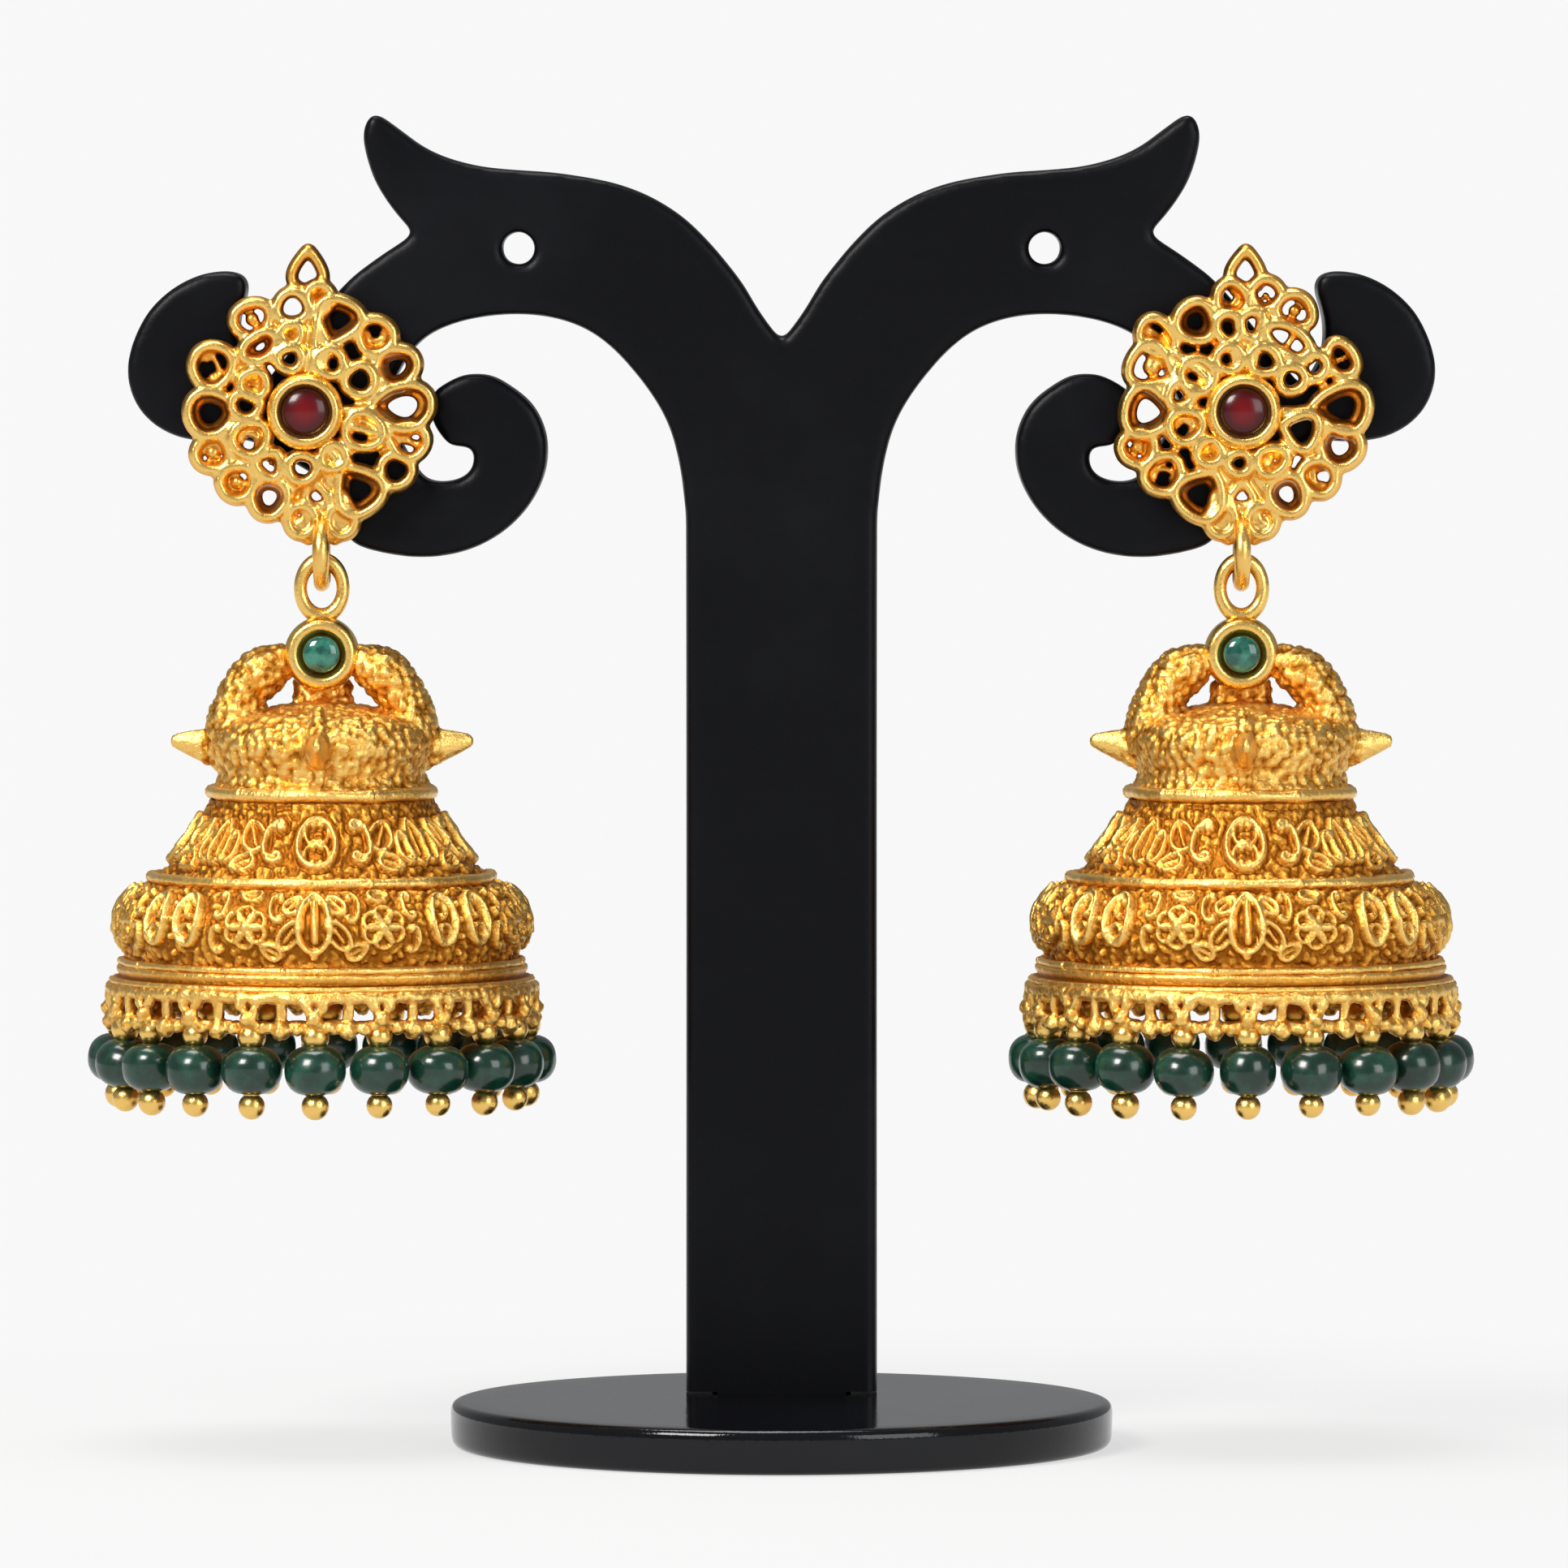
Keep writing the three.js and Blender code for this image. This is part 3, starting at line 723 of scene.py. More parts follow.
def makeRosette(side, material):
    # all the wires, melted into one openwork dome with the hanging ring under it
    look, stone, hang = rosetteLook, middle(side + "_ruby"), middle(side + "_link")
    offset = hang[0] - stone[0]
    heap = Heap()
    for clock, out, wide, long, fill in rosetteLoops[side]:
        angle = math.radians(clock)
        centre = np.array([math.sin(angle), math.cos(angle)]) * out
        y = look["dome"] * (out / 7) ** 2 - 0.25
        width, height, slender = wide - look["spread"], long - look["spread"], long > wide * 1.12
        path = petalPath(clock, width, height, fill, slender)
        tube(heap, inPlane(path, centre, y), look["wire"], 8, True, front, look["deep"])
        if 5 < out < 8 and slender:
            # a long petal's stem runs on to the stone
            stem = spun([(0, out - long / 2), (0.08, out * 0.5), (0, 2.4)], clock)
            tube(heap, inPlane(stem, y=-0.1), look["wire"] * 0.85, 8, False, front, look["deep"])
        addFill(heap, fill, centre, clock, width, height, y)
        if fill == "open" and width > look["lipFrom"]:
            tube(heap, inPlane(path * look["lip"], centre, y + 0.5), look["wire"], 8, True, front, 1.2)
    hangingVolutes(heap, offset)
    ring = low(side + "_rosette")[2] - stone[2]
    tube(heap, inPlane(oval(2.1, 2.1), (offset, ring + 1.38), 0.0), 0.33, 10, True, front, 1.0)
    piece = heap.build(side + "_rosette_wires", (stone[0], hang[1], stone[2]))
    fuse(piece, look["voxel"], look["smoothing"], look["keep"])
    points, out = meshArrays(piece.data)
    # painted shade darkens the wires with their depth behind the front, and a painted highlight pales the
    # faces turned to the front
    depth = points[:, 1] - hang[1] - look["front"]
    setRaised(piece.data, 1 - depth / look["shade"] + 0.25 * np.clip(-out[:, 1], 0, 1) - 0.1)
    place(piece, material, "stand", [side + "_rosette"])


def makeSetting(side, material):
    # a thick rolled rim round the stone, its cup and the post behind
    stone, hang = middle(side + "_ruby"), middle(side + "_link")
    outer, inner = rosetteLook["bezelOut"], rosetteLook["bezelIn"]
    rim = [(0, -1.1), (outer - 0.25, -1.1), (outer, -0.6), (outer, 0.95), (outer - 0.35, 1.4),
           (inner + 0.3, 1.4), (inner, 0.9), (inner, -0.2), (0, -0.2)]
    profile = rounded(rim, 0.36, 6)
    # painted light and shade: paler towards the front, darker towards the back and on the floor inside the
    # rim
    forward = np.clip((profile[:, 1] + 0.6) / 1.1, 0.3, 1)
    outside = np.clip((profile[:, 0] - inner) / 0.3 + 0.55, 0, 1)
    heap = Heap()
    lathe(heap, profile, 72, forward * outside)
    turnToFront(heap)
    length, wire = high(side + "_rosette")[1] - hang[1], 0.4
    post = [(0, 1.0, 0), (0, length * 0.5, 0), (0, length - wire, 0)]
    tube(heap, post, wire, 12, False, (0, 0, 1.0), 1.0, (0.8, 0.9))
    shift = (stone[0], hang[1], stone[2])
    heap.make(side + "_rosette_setting", material, "stand", "gold", [side + "_rosette"], shift)


# Each stone's radius and dome, its girdle's height, and how far its back lies before the link's wire.
stoneLook = {
    "ruby": {"radius": 1.52, "dome": 0.6, "before": 0.38},
    "emerald": {"radius": 1.15, "dome": 0.45, "before": 0.85},
    "girdle": 0.35,
}


def makeStone(side, stone, material, body):
    # a polished cabochon with a small girdle
    row, node = stoneLook[stone], f"{side}_{stone}"
    radius, centre = row["radius"], middle(node)
    t = np.linspace(0, np.pi / 2, 14)
    cap = np.stack([radius * np.cos(t), stoneLook["girdle"] + row["dome"] * np.sin(t)], axis=1)
    cap[-1, 0] = 0
    profile = np.concatenate([[(0, 0), (radius * 0.93, 0), (radius, 0.15)], cap])
    heap = Heap()
    # the raised value is highest at the dome's middle, where the ruby gets its painted glow; the emerald's
    # finish does not read it
    lathe(heap, profile, 64, np.clip(1 - profile[:, 0] / radius, 0, 1))
    turnToFront(heap)
    shift = (centre[0], middle(side + "_link")[1] - row["before"], centre[2])
    heap.make(node + "_polished", material, body, stone + "_glass", [node], shift)


def makeNut(side, material):
    # a flange, a waist and a tail round the post's hole
    node = side + "_ear_nut"
    bottom, centre = low(node), middle(node)
    radius, length = centre[0] - bottom[0], high(node)[1] - bottom[1]
    bore, size = 0.55, radius / 1.3
    outline = [(bore, 0), (radius, 0), (radius, 0.3), (0.85 * size, 0.4), (0.7 * size, 0.62), (0.9 * size, 1),
               (bore, 1)]
    outline = [(r, -share * length) for r, share in outline + outline[:1]]
    heap = Heap()
    lathe(heap, rounded(outline, 0.22, 4)[:-1], 48, 0.9, closed=True)
    turnToFront(heap)
    heap.make(node + "_turned", material, "stand", "gold", [node], (centre[0], bottom[1], centre[2]))


def makeLink(side, material):
    # a jump ring seen edge on, a little taller than deep
    node = side + "_link"
    size = (high(node) - low(node)) / 2
    wire, half = size[0], size[2] - size[0]
    t = fullTurn(64)
    path = np.stack([0 * t, half * np.sin(t) * 0.94, half * np.cos(t)], axis=1)
    heap = Heap()
    tube(heap, path, wire * (1 + 0.05 * np.sin(3 * t)), 14, True, (1.0, 0, 0), 1.0, (0.6, 1.0))
    heap.make(node + "_ring", material, node, "gold", [node], tuple(middle(node)))


bellLook = {
    "columns": 640,
    "rowStep": 0.135,
    "wall": 0.85,
    "grainCell": 0.56,
    "grainSize": 0.36,
    "grainHeight": 0.24,
    "moat": (0.06, 0.30),  # bare metal round each stroke, from and to
    "stand": 1.15,
    "sink": 0.3,
    "fold": 4,  # how often the ornament is repeated round the bell
}
# The bell's outer skin as radius and height; each zone is one cast strip between two soldered rings.
bellZones = {
    "frieze": [(6.95, 40.0), (7.6, 38.9), (8.8, 37.15), (10.1, 35.3)],
    "belt": [(10.45, 34.95), (11.5, 34.65), (12.25, 33.9), (12.75, 32.9), (12.8, 31.8), (12.45, 30.8),
             (12.15, 30.0)],
    "rim": [(12.2, 30.1), (12.55, 29.6), (13.0, 29.1), (13.1, 28.5), (12.95, 28.0)],
}


def resample(points, step, spare=2, rounds=8):
    # even steps along a route, its bends softened, and how far along each step lies
    points = np.asarray(points, float)
    along = np.concatenate([[0], np.cumsum(np.linalg.norm(np.diff(points, axis=0), axis=1))])
    at = np.linspace(0, along[-1], int(along[-1] / step) + spare)
    out = np.stack([np.interp(at, along, points[:, i]) for i in range(points.shape[1])], axis=1)
    for _ in range(rounds):
        out[1:-1] = (out[:-2] + 2 * out[1:-1] + out[2:]) / 4
    return out, at


def skinRows(zone):
    # the strip's rows of radius and height, the way out of it at each, and their heights over its middle
    rows, down = resample(bellZones[zone], bellLook["rowStep"], 1, 6)
    slope = unit(np.gradient(rows, axis=0))
    return rows, np.stack([-slope[:, 1], slope[:, 0]], axis=1), down[-1] / 2 - down


class Relief:
    # heights over one sector of a strip: x goes round from the sector's middle, y up from the strip's middle
    def __init__(self, x, y):
        self.x, self.y, self.side = x, y, 1
        self.height = np.zeros(x.shape)
        self.clear = np.full(x.shape, 9.0)  # how far each place lies outside the nearest stroke

    def lift(self, distance, size, height):
        self.height = np.maximum(self.height, height * np.sqrt(np.clip(1 - (distance / size) ** 2, 0, 1)))
        self.clear = np.minimum(self.clear, distance - size)

    def wire(self, path, size, height, closed=False, at=(0, 0)):
        path = (np.asarray(path, float) + at) * (self.side, 1.0)
        ends = np.roll(path, -1, 0) if closed else path[1:]
        best = np.full(self.x.shape, 9.0)
        for (ax, ay), (bx, by) in zip(path if closed else path[:-1], ends):
            dx, dy = bx - ax, by - ay
            t = np.clip(((self.x - ax) * dx + (self.y - ay) * dy) / max(dx * dx + dy * dy, 1e-9), 0, 1)
            best = np.minimum(best, np.hypot(self.x - ax - t * dx, self.y - ay - t * dy))
        self.lift(best, size, height)

    def grain(self, x, y, size, height):
        self.lift(np.hypot(self.x - x * self.side, self.y - y), size, height)

    def curls(self, rows):
        # each row is a scroll's height, lean, turn and power, its place, and its wire's size and height
        for tall, lean, turn, power, x, y, size, height in rows:
            self.wire(scroll(tall, lean, turn, power), size, height, at=(x, y))

    def leaf(self, x, y, wide, long, tilt=0.0):
        self.wire(spun(teardrop(wide, long, 0.5), tilt), 0.19, 0.42, True, (x, y))
        self.wire(spun([(0, long * 0.32), (0, -long * 0.3)], tilt), 0.15, 0.36, at=(x, y))

    def flower(self, x, y, size, petals=6):
        for i in range(petals):
            petal = teardrop(size * 0.62, size * 0.78, 0.3, 16) + (0, -size * 0.52)
            self.wire(spun(petal, 360 * i / petals), 0.16, 0.40, True, (x, y))
        self.grain(x, y, size * 0.24, 0.52)

    def both(self, draw):
        # the same ornament on the left and, mirrored, on the right
        for self.side in (-1, 1):
            draw()


def friezeRelief(relief):
    # an oval seal between a tall scroll, leaves and small curls
    relief.wire(oval(2.3, 3.5, 40), 0.25, 0.52, True)
    relief.grain(0, 0, 0.34, 0.45)

    def ornament():
        relief.curls((
            (1.5, -1.0, 6.5, 2.6, 0.42, 0.75, 0.15, 0.38),
            (1.4, -1.0, 6.5, 2.6, 0.42, -0.8, 0.15, 0.38),
            (2.9, -1.0, 7.0, 2.2, 2.75, 0.15, 0.22, 0.48),
            (2.2, 1.0, 6.5, 2.6, 5.65, -0.3, 0.18, 0.42),
        ))
        for y in (-1.0, 1.25):
            relief.grain(2.95, y, 0.33, 0.5)
        relief.leaf(4.25, 0.55, 1.3, 2.3, 28)
        relief.leaf(4.45, -1.45, 1.0, 1.5, 115)
        relief.leaf(6.75, 0.1, 1.3, 3.2)
    relief.both(ornament)


def beltRelief(relief):
    # a bud between leaves, then a flower, curls and a tall oval before a row of grains
    relief.wire(teardrop(1.7, 3.9, 0.45, 36), 0.24, 0.55, True)
    relief.wire([(0, 1.3), (0.05, -1.2)], 0.26, 0.6)
    relief.grain(0, -2.2, 0.36, 0.5)

    def ornament():
        relief.curls((
            (2.0, -1.0, 6.5, 2.6, 2.45, 1.05, 0.18, 0.42),
            (1.8, 1.0, 6.5, 2.6, 6.15, 1.15, 0.18, 0.44),
            (1.7, -1.0, 6.5, 2.6, 6.35, -1.15, 0.18, 0.44),
            (1.2, -1.0, 6.0, 2.6, 8.6, 0.75, 0.15, 0.42),
        ))
        for leaf in ((1.45, -0.75, 0.95, 2.3, -35), (1.35, 1.2, 0.8, 1.5, -40), (4.3, 1.95, 0.8, 1.5, 90),
                     (2.7, -1.9, 0.8, 1.4, 60)):
            relief.leaf(*leaf)
        relief.flower(4.35, -0.35, 1.5)
        relief.wire(oval(1.75, 3.3, 36), 0.25, 0.58, True, (8.55, 0.1))
        relief.wire(oval(0.85, 0.95), 0.16, 0.46, True, (8.55, -0.75))
        for y in (-2.2, -1.1, 0.0, 1.1, 2.2):
            relief.grain(9.97, y, 0.28, 0.42)
    relief.both(ornament)


def rimRelief(relief):
    # two plain beads that run right round
    for y in (0.55, -0.35):
        relief.wire([(-30, y), (30, y)], 0.3, 0.42)


def makeBellPiece(heap, side, name, material):
    shift = (*middle(side + "_link")[:2], 0)
    heap.make(f"{side}_bell_{name}", material, side + "_drop", "gold", [side + "_bell"], shift)


def makeZone(side, zone, draw, material):
    # a strip of skin with its ornament standing on grains, and a plain wall behind it
    rows, out, y = skinRows(zone)
    columns, fold, look = bellLook["columns"], bellLook["fold"], bellLook
    sector = columns // fold
    radius = rows[len(rows) // 2, 0]
    x = (np.arange(sector) - sector / 2 + 0.5) * (2 * np.pi / columns) * radius
    relief = Relief(*np.meshgrid(x, y))
    draw(relief)
    drawn, clear = (
        np.roll(np.tile(sheet, (1, fold)), -(sector // 2), axis=1) for sheet in (relief.height, relief.clear)
    )
    ring, heights = circle(columns)[:, :2], (*drawn.shape, 1)
    skin, normal = (
        np.concatenate([row[:, None, :1] * ring, np.broadcast_to(row[:, None, 1:], heights)], axis=2)
        for row in (rows, out)
    )
    flat = skin.reshape(-1, 3)
    seed = 1.0 if side == "left" else 2.0
    # the grains keep clear of the strokes, so that these stay legible
    start, end = look["moat"]
    away = np.clip((clear - start) / (end - start), 0, 1)
    grain = granules(flat, look["grainCell"], look["grainSize"], seed).reshape(drawn.shape)
    grain = grain * look["grainHeight"] * away
    fine = granules(flat + 3, 0.3, 0.2, seed).reshape(drawn.shape) * 0.07 * (0.2 + 0.4 * away)
    uneven = wobble(flat, 1.3, seed).reshape(drawn.shape)
    height = np.maximum(drawn * (0.94 + 0.12 * uneven), grain) + fine + 0.02 * uneven
    fade = np.clip(np.minimum(np.arange(len(rows)), np.arange(len(rows))[::-1]) / 2, 0, 1)[:, None]
    outer = skin + normal * ((height * look["stand"] - look["sink"]) * fade)[..., None]
    inner = (skin - normal * look["wall"])[::-1][:: max(1, len(rows) // 8)]
    points = np.concatenate([outer, inner])
    # painted shade with patina: paler gold on the strokes and grains, darker in the hollows, the wall behind
    # in between
    lifted = np.concatenate([np.clip(height / 0.40 - 0.2, 0, 1), np.full(inner.shape[:2], 0.45)])
    heap = Heap()
    heap.add(points, [gridFaces(len(points), columns, True, True)], lifted)
    makeBellPiece(heap, side, zone, material)


bellRings = (
    {"radius": 6.8, "z": 40.42, "wire": 0.42},
    {"radius": 10.4, "z": 35.15, "wire": 0.38},
    {"radius": 12.35, "z": 29.95, "wire": 0.26},
)


def makeRings(side, material):
    # soldered wires between the strips, with the unevenness of handwork
    heap, flat = Heap(), circle(360)
    for row in bellRings:
        uneven = wobble(flat * row["radius"] + row["z"], 2.6, row["z"])
        path = flat * (row["radius"] + 0.05 * uneven)[:, None] + [0, 0, row["z"]]
        path[:, 2] += 0.05 * wobble(path, 4.1, 2.0)
        tube(heap, path, row["wire"] * (1 + 0.22 * uneven), 10, True, flat, 1.0, (0.25, 1.0))
        for spot, size in zip(path[::9], (1 + uneven[::9]) * 0.5):
            if size > 0.62:
                outward = spot * (1, 1, 0)
                ball(heap, spot + unit(outward) * 0.12, row["wire"] * (0.7 + 0.5 * size), outward)
    makeBellPiece(heap, side, "rings", material)


crownLook = {
    "voxel": 0.165,
    "smoothing": 2,
    "grainCell": 0.54,
    "grainSize": 0.36,
    "grainHeight": 0.30,
    "archDeep": 1.25,
    "hornDeep": 0.62,
    "pedestal": (1.85, 0.4),  # half-width and depth of the post under the cup
    "bezelOut": 2.3,
    "bezelIn": 1.36,
    "loop": {"half": (1.32, 1.72), "middle": 53.05, "wire": 0.46},
}
# Middle lines as radius, height and half-thickness, except the pedestal's, which is x, y and z.
archRoute = [(2.6, 48.45, 1.1), (3.3, 48.1, 1.5), (4.0, 47.7, 1.55), (4.65, 47.0, 1.42), (5.05, 46.0, 1.55),
             (5.45, 44.9, 1.65), (5.6, 43.7, 1.6)]
hornRoute = [(5.2, 43.1, 1.4), (6.4, 43.15, 1.3), (7.3, 43.3, 1.06), (8.1, 43.45, 0.84), (8.6, 43.53, 0.7),
             (8.9, 43.57, 0.55)]
pedestalRoute = [(0, 0.75, 46.9), (0, 0.6, 46.2), (0, 0.2, 45.2), (0, -0.2, 44.2)]
keelRoute = [(5.1, 45.5, 0.3), (6.1, 45.0, 0.4), (6.85, 44.1, 0.45), (7.0, 43.0, 0.4), (6.6, 41.8, 0.35),
             (6.7, 40.9, 0.3)]
domeOutline = [(0, 46.0), (2.3, 45.75), (4.2, 45.35), (5.7, 44.95), (6.7, 44.2), (6.85, 43.2), (6.45, 42.2),
               (6.3, 41.4), (6.75, 40.6), (6.75, 40.1), (5.7, 40.1), (5.4, 42.2), (4.6, 43.6), (0, 44.4)]


def smoothRoute(points):
    return resample(points, 0.25)[0]


def turnedPath(path, quarter):
    # an outline of radius and height carried round to one of the four sides: 0 is the viewer's right
    x, z = np.asarray(path, float).T
    angle = quarter * np.pi / 2
    return np.stack([x * math.cos(angle), -x * math.sin(angle), z], axis=1)


def makeCrown(side, material):
    # two arches, two keels and four horns on a domed cap, melted together and covered in grains
    look, hang = crownLook, middle(side + "_link")
    shift = (hang[0], hang[1], 0)
    heap = Heap()
    for quarter in range(4):
        facing = turnedPath([(1.0, 0.0)], quarter + 1)[0]
        if quarter % 2 == 0:
            arch = smoothRoute(archRoute)
            tube(heap, turnedPath(arch[:, :2], quarter), arch[:, 2], 14, False, facing, look["archDeep"])
        else:
            keel = smoothRoute(keelRoute)
            tube(heap, turnedPath(keel[:, :2], quarter), keel[:, 2], 10, False, (0, 0, 1.0))
        horn = smoothRoute(hornRoute)
        tube(heap, turnedPath(horn[:, :2], quarter), horn[:, 2], 16, False, facing, look["hornDeep"])
    lathe(heap, rounded(domeOutline, 0.5, 4), 96)
    wide, deep = look["pedestal"]
    tube(heap, pedestalRoute, wide, 16, False, front, deep)
    piece = heap.build(side + "_bell_crown", shift)
    fuse(piece, look["voxel"], look["smoothing"])
    points, out = meshArrays(piece.data)
    # the horns' tips and the lowest edge stay smooth
    local = points - shift
    reach = np.abs(local[:, :2]).max(axis=1)
    rough = np.clip(1 - (reach - 7.0) / 0.9, 0, 1) * np.clip((local[:, 2] - 40.2) / 0.4, 0, 1)
    grain = granules(points, look["grainCell"], look["grainSize"], 3.0)
    height = np.maximum(grain, 0.45 * granules(points + 5, 0.34, 0.22, 4.0))
    movePoints(piece.data, points + out * (rough * (height * look["grainHeight"] - 0.1))[:, None])
    # painted shade with patina: paler on the grains' tops, darker between them
    setRaised(piece.data, np.where(rough > 0.5, 0.02 + 0.9 * height, 0.85))
    place(piece, material, side + "_drop", [side + "_bell"])


def makeCup(side, material):
    # the plain stone cup and the oval loop above it
    look, stone = crownLook, middle(side + "_emerald")
    outer, inner, loop = look["bezelOut"], look["bezelIn"], look["loop"]
    rim = [(0, -1.3), (outer - 0.3, -1.3), (outer, -0.9), (outer, 1.0), (outer - 0.3, 1.45),
           (inner + 0.2, 1.45), (inner, 1.15), (inner - 0.2, 0.95), (0, 0.95)]
    profile = rounded(rim, 0.3, 6)
    heap = Heap()
    # painted shade: darker inside the rim, round the stone, and on the middle of the back
    lathe(heap, profile, 72, np.where(profile[:, 0] < inner + 0.02, 0.3, 0.95))
    turnToFront(heap)
    heap.points = [points + [0, 0, stone[2]] for points in heap.points]
    t = fullTurn(56)
    across, up = loop["half"]
    path = np.stack([across * np.sin(t), 0 * t, loop["middle"] + up * np.cos(t)], axis=1)
    tube(heap, path, loop["wire"] + 0.05 * np.cos(2 * t), 14, True, front, 1.0, (0.5, 1.0))
    makeBellPiece(heap, side, "cup", material)


fringeLook = {
    "count": 20,
    "ring": 12.65,
    "balls": 0.86,
    "topBall": 25.95,
    "bottomBall": 21.65,
    "struts": 0.27,
    "voxel": 0.15,
    "keep": 0.75,
    "bead": (1.93, 1.58),
    "beadZ": 23.85,
}


def aroundBell(angle, radius, z):
    return np.array([radius * math.sin(angle), -radius * math.cos(angle), z])


# The gallery's hoops as radius, height and wire, and its grains as share of a step, height and size.
galleryHoops = ((12.9, 26.6, 0.36), (13.05, 28.35, 0.36))
galleryGrains = ((0.24, 26.5, 0.4), (0.76, 26.45, 0.4), (0.12, 27.9, 0.35), (0.88, 27.9, 0.35))


def makeGallery(side, material):
    # a pierced strip of slanting wires and little balls between the rim and the bead pins
    look, hang = fringeLook, middle(side + "_link")
    heap = Heap()
    for radius, z, wire in galleryHoops:
        path = circle(240, radius, z)
        path[:, 2] += 0.05 * wobble(path, 3.1, z)
        tube(heap, path, wire * (1 + 0.2 * wobble(path, 2.2, z)), 8, True, path * (1, 1, 0))
    step, under, over = 2 * np.pi / look["count"], galleryHoops[0][1], galleryHoops[1][1]
    for i in range(look["count"]):
        angle = i * step
        half = angle + step / 2
        foot, between = aroundBell(angle, 13.0, under), aroundBell(half, 12.95, under)
        outFoot, outBetween = foot * (1, 1, 0), between * (1, 1, 0)
        for turn in (-1, 1):
            head = aroundBell(angle + turn * step * 0.2, 13.1, over)
            bend = aroundBell(angle + turn * step * 0.05, 13.25, 27.4)
            tube(heap, smoothRoute([foot, bend, head]), look["struts"], 8, False, outFoot)
        post = smoothRoute([between, aroundBell(half, 13.1, over)])
        tube(heap, post, look["struts"] * 1.1, 8, False, outBetween)
        ball(heap, aroundBell(angle, 13.2, 27.05), 0.5, outFoot, ballShape)
        ball(heap, aroundBell(half, 13.15, 26.35), 0.56, outBetween, ballShape)
        for share, z, size in galleryGrains:
            spot = aroundBell(angle + step * share, 13.15, z)
            ball(heap, spot, size, spot * (1, 1, 0))
    piece = heap.build(f"{side}_bell_gallery", (hang[0], hang[1], 0))
    fuse(piece, look["voxel"], 2, look["keep"])
    points, out = meshArrays(piece.data)
    height = np.maximum(granules(points, 0.5, 0.33, 8.0), 0.4 * granules(points + 4, 0.3, 0.2, 9.0))
    movePoints(piece.data, points + out * (height * 0.16 - 0.05)[:, None])
    # painted shade: darker between the grains and on the sides turned into the bell
    outward = np.sum(out * unit((points - [hang[0], hang[1], 0]) * (1, 1, 0)), axis=1)
    setRaised(piece.data, 0.15 + 0.45 * height + 0.4 * np.clip(outward, -0.5, 1))
    place(piece, material, side + "_drop", [side + "_bell"])


def makePins(side, material):
    # each pin ends in a ball above and below its bead
    look, hang = fringeLook, middle(side + "_link")
    heap = Heap()
    generator = np.random.default_rng(7 if side == "left" else 11)
    for i in range(look["count"]):
        angle = 2 * np.pi * i / look["count"]
        outward = aroundBell(angle, 1.0, 0)
        size = look["balls"] * generator.uniform(0.9, 1.04, 2)
        foot = aroundBell(angle, look["ring"], look["bottomBall"] + generator.uniform(-0.06, 0.1))
        head = aroundBell(angle, look["ring"], look["topBall"])
        ball(heap, foot, size[0], outward, ballShape, (0.55, 1.0))
        ball(heap, head, size[1], outward, ballShape, (0.35, 1.0))
        stem = [foot, (foot + head) / 2, head, head + [0, 0, 0.9]]
        tube(heap, stem, 0.3, 8, False, outward, 1.0, (0.5, 0.8))
        collar = [foot * (1 - share) + head * share for share in (0.17, 0.2, 0.23)]
        tube(heap, collar, 0.5, 10, False, outward, 1.0, (0.3, 0.8))
    heap.make(side + "_pins", material, side + "_drop", "gold", [side + "_bead_pins"], (hang[0], hang[1], 0))


def makeBeads(side, material):
    # slightly uneven glass beads, each with its own shade
    look, hang = fringeLook, middle(side + "_link")
    heap = Heap()
    generator = np.random.default_rng(21 if side == "left" else 34)
    t = np.linspace(-np.pi / 2, np.pi / 2, 19)
    barrel = np.stack([np.abs(np.cos(t)) ** 0.72, np.sign(np.sin(t)) * np.abs(np.sin(t)) ** 0.95], axis=1)
    for i in range(look["count"]):
        angle = 2 * np.pi * i / look["count"]
        wide, tall = np.array(look["bead"]) * generator.uniform([0.9, 0.95], [1.0, 1.0])
        one = Heap()
        outline = np.concatenate([[(0, -tall)], (barrel * (wide, tall))[1:-1], [(0, tall)]])
        lathe(one, outline, 32, generator.uniform())
        points = one.points[0]
        tilt = generator.uniform(-0.09, 0.09, 2)
        points = points * (1 + 0.02 * wobble(points + i * 5.0, 2.3, i))[:, None]
        x, z = points[:, 0], points[:, 2]
        points = points + np.stack([z * tilt[0], z * tilt[1], -x * tilt[0]], axis=1)
        centre = aroundBell(angle, look["ring"], look["beadZ"] + generator.uniform(-0.08, 0.08))
        heap.add(points + centre, one.faces, one.raised[0])
    nodes = [f"{side}_bead_{i + 1:02d}" for i in range(look["count"])]
    heap.make(side + "_bead_fringe", material, side + "_drop", "bead_glass", nodes, (hang[0], hang[1], 0))


# Each glass: its darkest and brightest colour, roughness and coat.
glassLook = {
    "ruby": ((0.022, 0.0004, 0.0015), (0.13, 0.0016, 0.004), 0.2, 0.12),
    "emerald": ((0.004, 0.055, 0.040), (0.034, 0.20, 0.135), 0.12, 0.35),
    "bead": ((0.0020, 0.015, 0.009), (0.008, 0.060, 0.034), 0.22, 0.2),
}


def rubyGlass():
    # painted glow: brighter towards the dome's middle, where light comes back through the stone
    (deep, bright, roughness, coat), f = glassLook["ruby"], Finish("rubyGlass")
    cloud = f.noise(900.0, 3.0)
    glow = (f.attribute("raised") + (cloud - 0.5) * 0.5).smooth(0.0, 0.9)
    return f.set({
        "Base Color": f.blend(glow, deep, bright),
        "Roughness": (roughness + (cloud - 0.5) * 0.1).clamp(),
        "Specular IOR Level": 0.3,
        "Coat Weight": coat,
        "Coat Roughness": 0.1,
    })


def emeraldGlass():
    (deep, bright, roughness, coat), f = glassLook["emerald"], Finish("emeraldGlass")
    cloud = f.noise(1100.0, 3.0, 0.6)
    veins = f.noise(2600.0)
    mask = (cloud.smooth(0.35, 0.65) * 0.8 + (veins - 0.5) * 0.6).clamp()
    return f.set({
        "Base Color": f.blend(mask, deep, bright),
        "Roughness": (roughness + (veins - 0.5) * 0.1).clamp(),
        "Coat Weight": coat,
        "Coat Roughness": 0.08,
    })


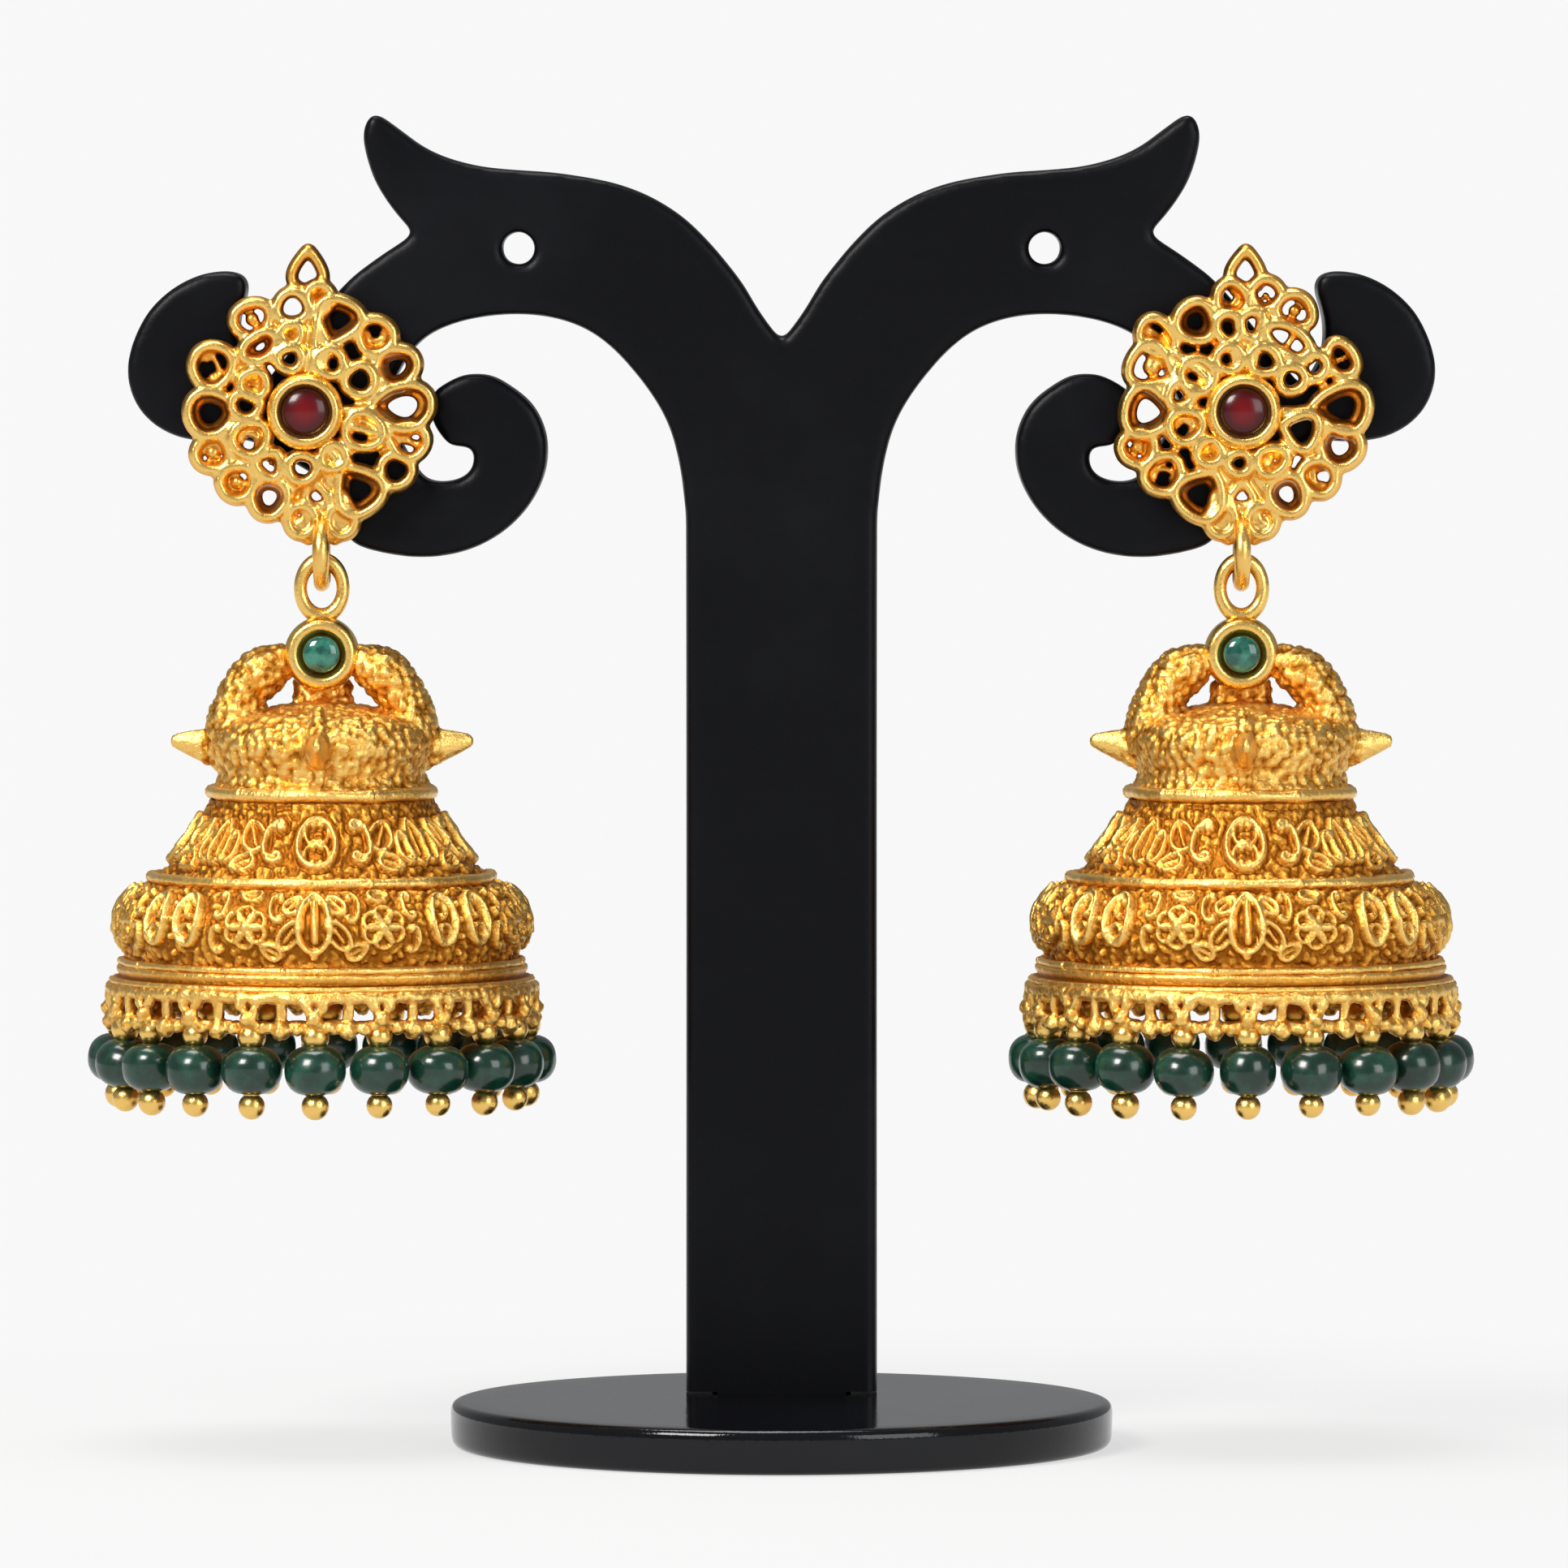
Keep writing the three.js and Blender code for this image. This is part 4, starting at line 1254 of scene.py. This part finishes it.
def beadGlass():
    # each bead's raised value shifts its shade
    (deep, bright, roughness, coat), f = glassLook["bead"], Finish("beadGlass")
    each = f.attribute("raised")
    cloud = f.noise(700.0, 4.0, 0.6)
    bands = f.noise(500.0, stretch=(1.0, 1.0, 3.0))
    mask = (cloud.smooth(0.42, 0.72) * 0.7 + each * 0.25 + (bands - 0.5) * 0.5).clamp()
    return f.set({
        "Base Color": f.blend(mask, deep, bright),
        "Roughness": (roughness + (cloud - 0.5) * 0.18).clamp(),
        "Coat Weight": coat,
        "Coat Roughness": 0.12,
        "Normal": f.bump(cloud, 0.00006, 0.35),
    })


stageLook = {
    "paper": 0.94,
    "floor": (0.60, 0.60, 0.60),
    "glow": 0.7,
    "ambient": 0.30,
    "near": 0.03,  # metres from the foot, where the floor's own glow starts to rise
    "far": 0.10,
    "floorHalf": 6.0,
    "lights": (
        {"name": "key", "place": (-420, -560, 520), "size": 300, "power": 7.1, "colour": (1.0, 0.98, 0.95)},
        {"name": "fill", "place": (520, -620, 260), "size": 420, "power": 2.4, "colour": (0.97, 0.98, 1.0)},
        {"name": "top", "place": (-60, 60, 700), "size": 360, "power": 3.4, "colour": (1.0, 1.0, 1.0)},
    ),
}


def makeStudio():
    # a white room for the camera, a dimmer one for the surfaces, and three soft lamps
    look = stageLook
    world = bpy.data.worlds.new("studio")
    bpy.context.scene.world = world
    world.use_nodes = True
    tree = world.node_tree
    tree.nodes.clear()
    seen = tree.nodes.new("ShaderNodeBackground")
    seen.inputs["Color"].default_value = (look["paper"], look["paper"], look["paper"], 1)
    lit = tree.nodes.new("ShaderNodeBackground")
    lit.inputs["Color"].default_value = (0.97, 0.98, 1.0, 1)
    lit.inputs["Strength"].default_value = look["ambient"]
    mix, path = tree.nodes.new("ShaderNodeMixShader"), tree.nodes.new("ShaderNodeLightPath")
    out = tree.nodes.new("ShaderNodeOutputWorld")
    tree.links.new(path.outputs["Is Camera Ray"], mix.inputs[0])
    tree.links.new(lit.outputs[0], mix.inputs[1])
    tree.links.new(seen.outputs[0], mix.inputs[2])
    tree.links.new(mix.outputs[0], out.inputs[0])
    for row in look["lights"]:
        lamp = bpy.data.lights.new(row["name"], "AREA")
        lamp.size, lamp.energy, lamp.color = row["size"] * mm, row["power"], row["colour"]
        holder = bpy.data.objects.new(row["name"], lamp)
        bpy.context.scene.collection.objects.link(holder)
        holder.location = Vector(row["place"]) * mm
        aimAtObject(holder)
    bpy.context.scene.view_settings.view_transform = "Standard"


def makeFloor():
    # pale paper that takes a soft shadow near the foot and fades into the room further out
    look, f = stageLook, Finish("paleFloor")
    away = f.node("ShaderNodeVectorMath", {"operation": "LENGTH"}, {0: f.where}, 1)
    glow = f.node("ShaderNodeEmission", {}, {"Color": (look["paper"],) * 3, "Strength": 1.0})
    f.set({"Base Color": look["floor"], "Roughness": 0.9, "Specular IOR Level": 0.1})
    fade = away.smooth(look["near"], look["far"]) * (1 - look["glow"]) + look["glow"]
    mixed = f.node("ShaderNodeMixShader", {}, {0: fade, 1: Signal(f, f.shader.outputs[0]), 2: glow})
    f.tree.links.new(mixed.socket, f.tree.nodes["Material Output"].inputs["Surface"])
    mesh, half = bpy.data.meshes.new("floor"), look["floorHalf"]
    corners = [(-half, -half, 0), (half, -half, 0), (half, half, 0), (-half, half, 0)]
    mesh.from_pydata(corners, [], [(0, 1, 2, 3)])
    mesh.materials.append(f.material)
    floor = bpy.data.objects.new("floor", mesh)
    floor.location.z = -0.02 * mm
    bpy.context.scene.collection.objects.link(floor)


makeCamera()
makeStudio()
makeFloor()
print("stage done")

gold, polished = goldFinish("antiqueGold"), goldFinish("polishedGold", 0.08, 0.35)
ruby, emerald, beadGreen = rubyGlass(), emeraldGlass(), beadGlass()
print("finishes done")

makePlate(blackAcrylic("satinAcrylic", 0.36, 0.11))
makeBase(blackAcrylic("glossAcrylic", 0.10, 0.3))
print("stand done")

for side in ("left", "right"):
    makeRosette(side, polished)
    makeSetting(side, polished)
    makeStone(side, "ruby", ruby, "stand")
    makeNut(side, polished)
    makeLink(side, polished)
    makeCrown(side, gold)
    makeCup(side, polished)
    makeStone(side, "emerald", emerald, side + "_drop")
    for zone, draw in (("frieze", friezeRelief), ("belt", beltRelief), ("rim", rimRelief)):
        makeZone(side, zone, draw, gold)
    makeRings(side, gold)
    makeGallery(side, gold)
    makePins(side, polished)
    makeBeads(side, beadGreen)
    print(side, "earring done")
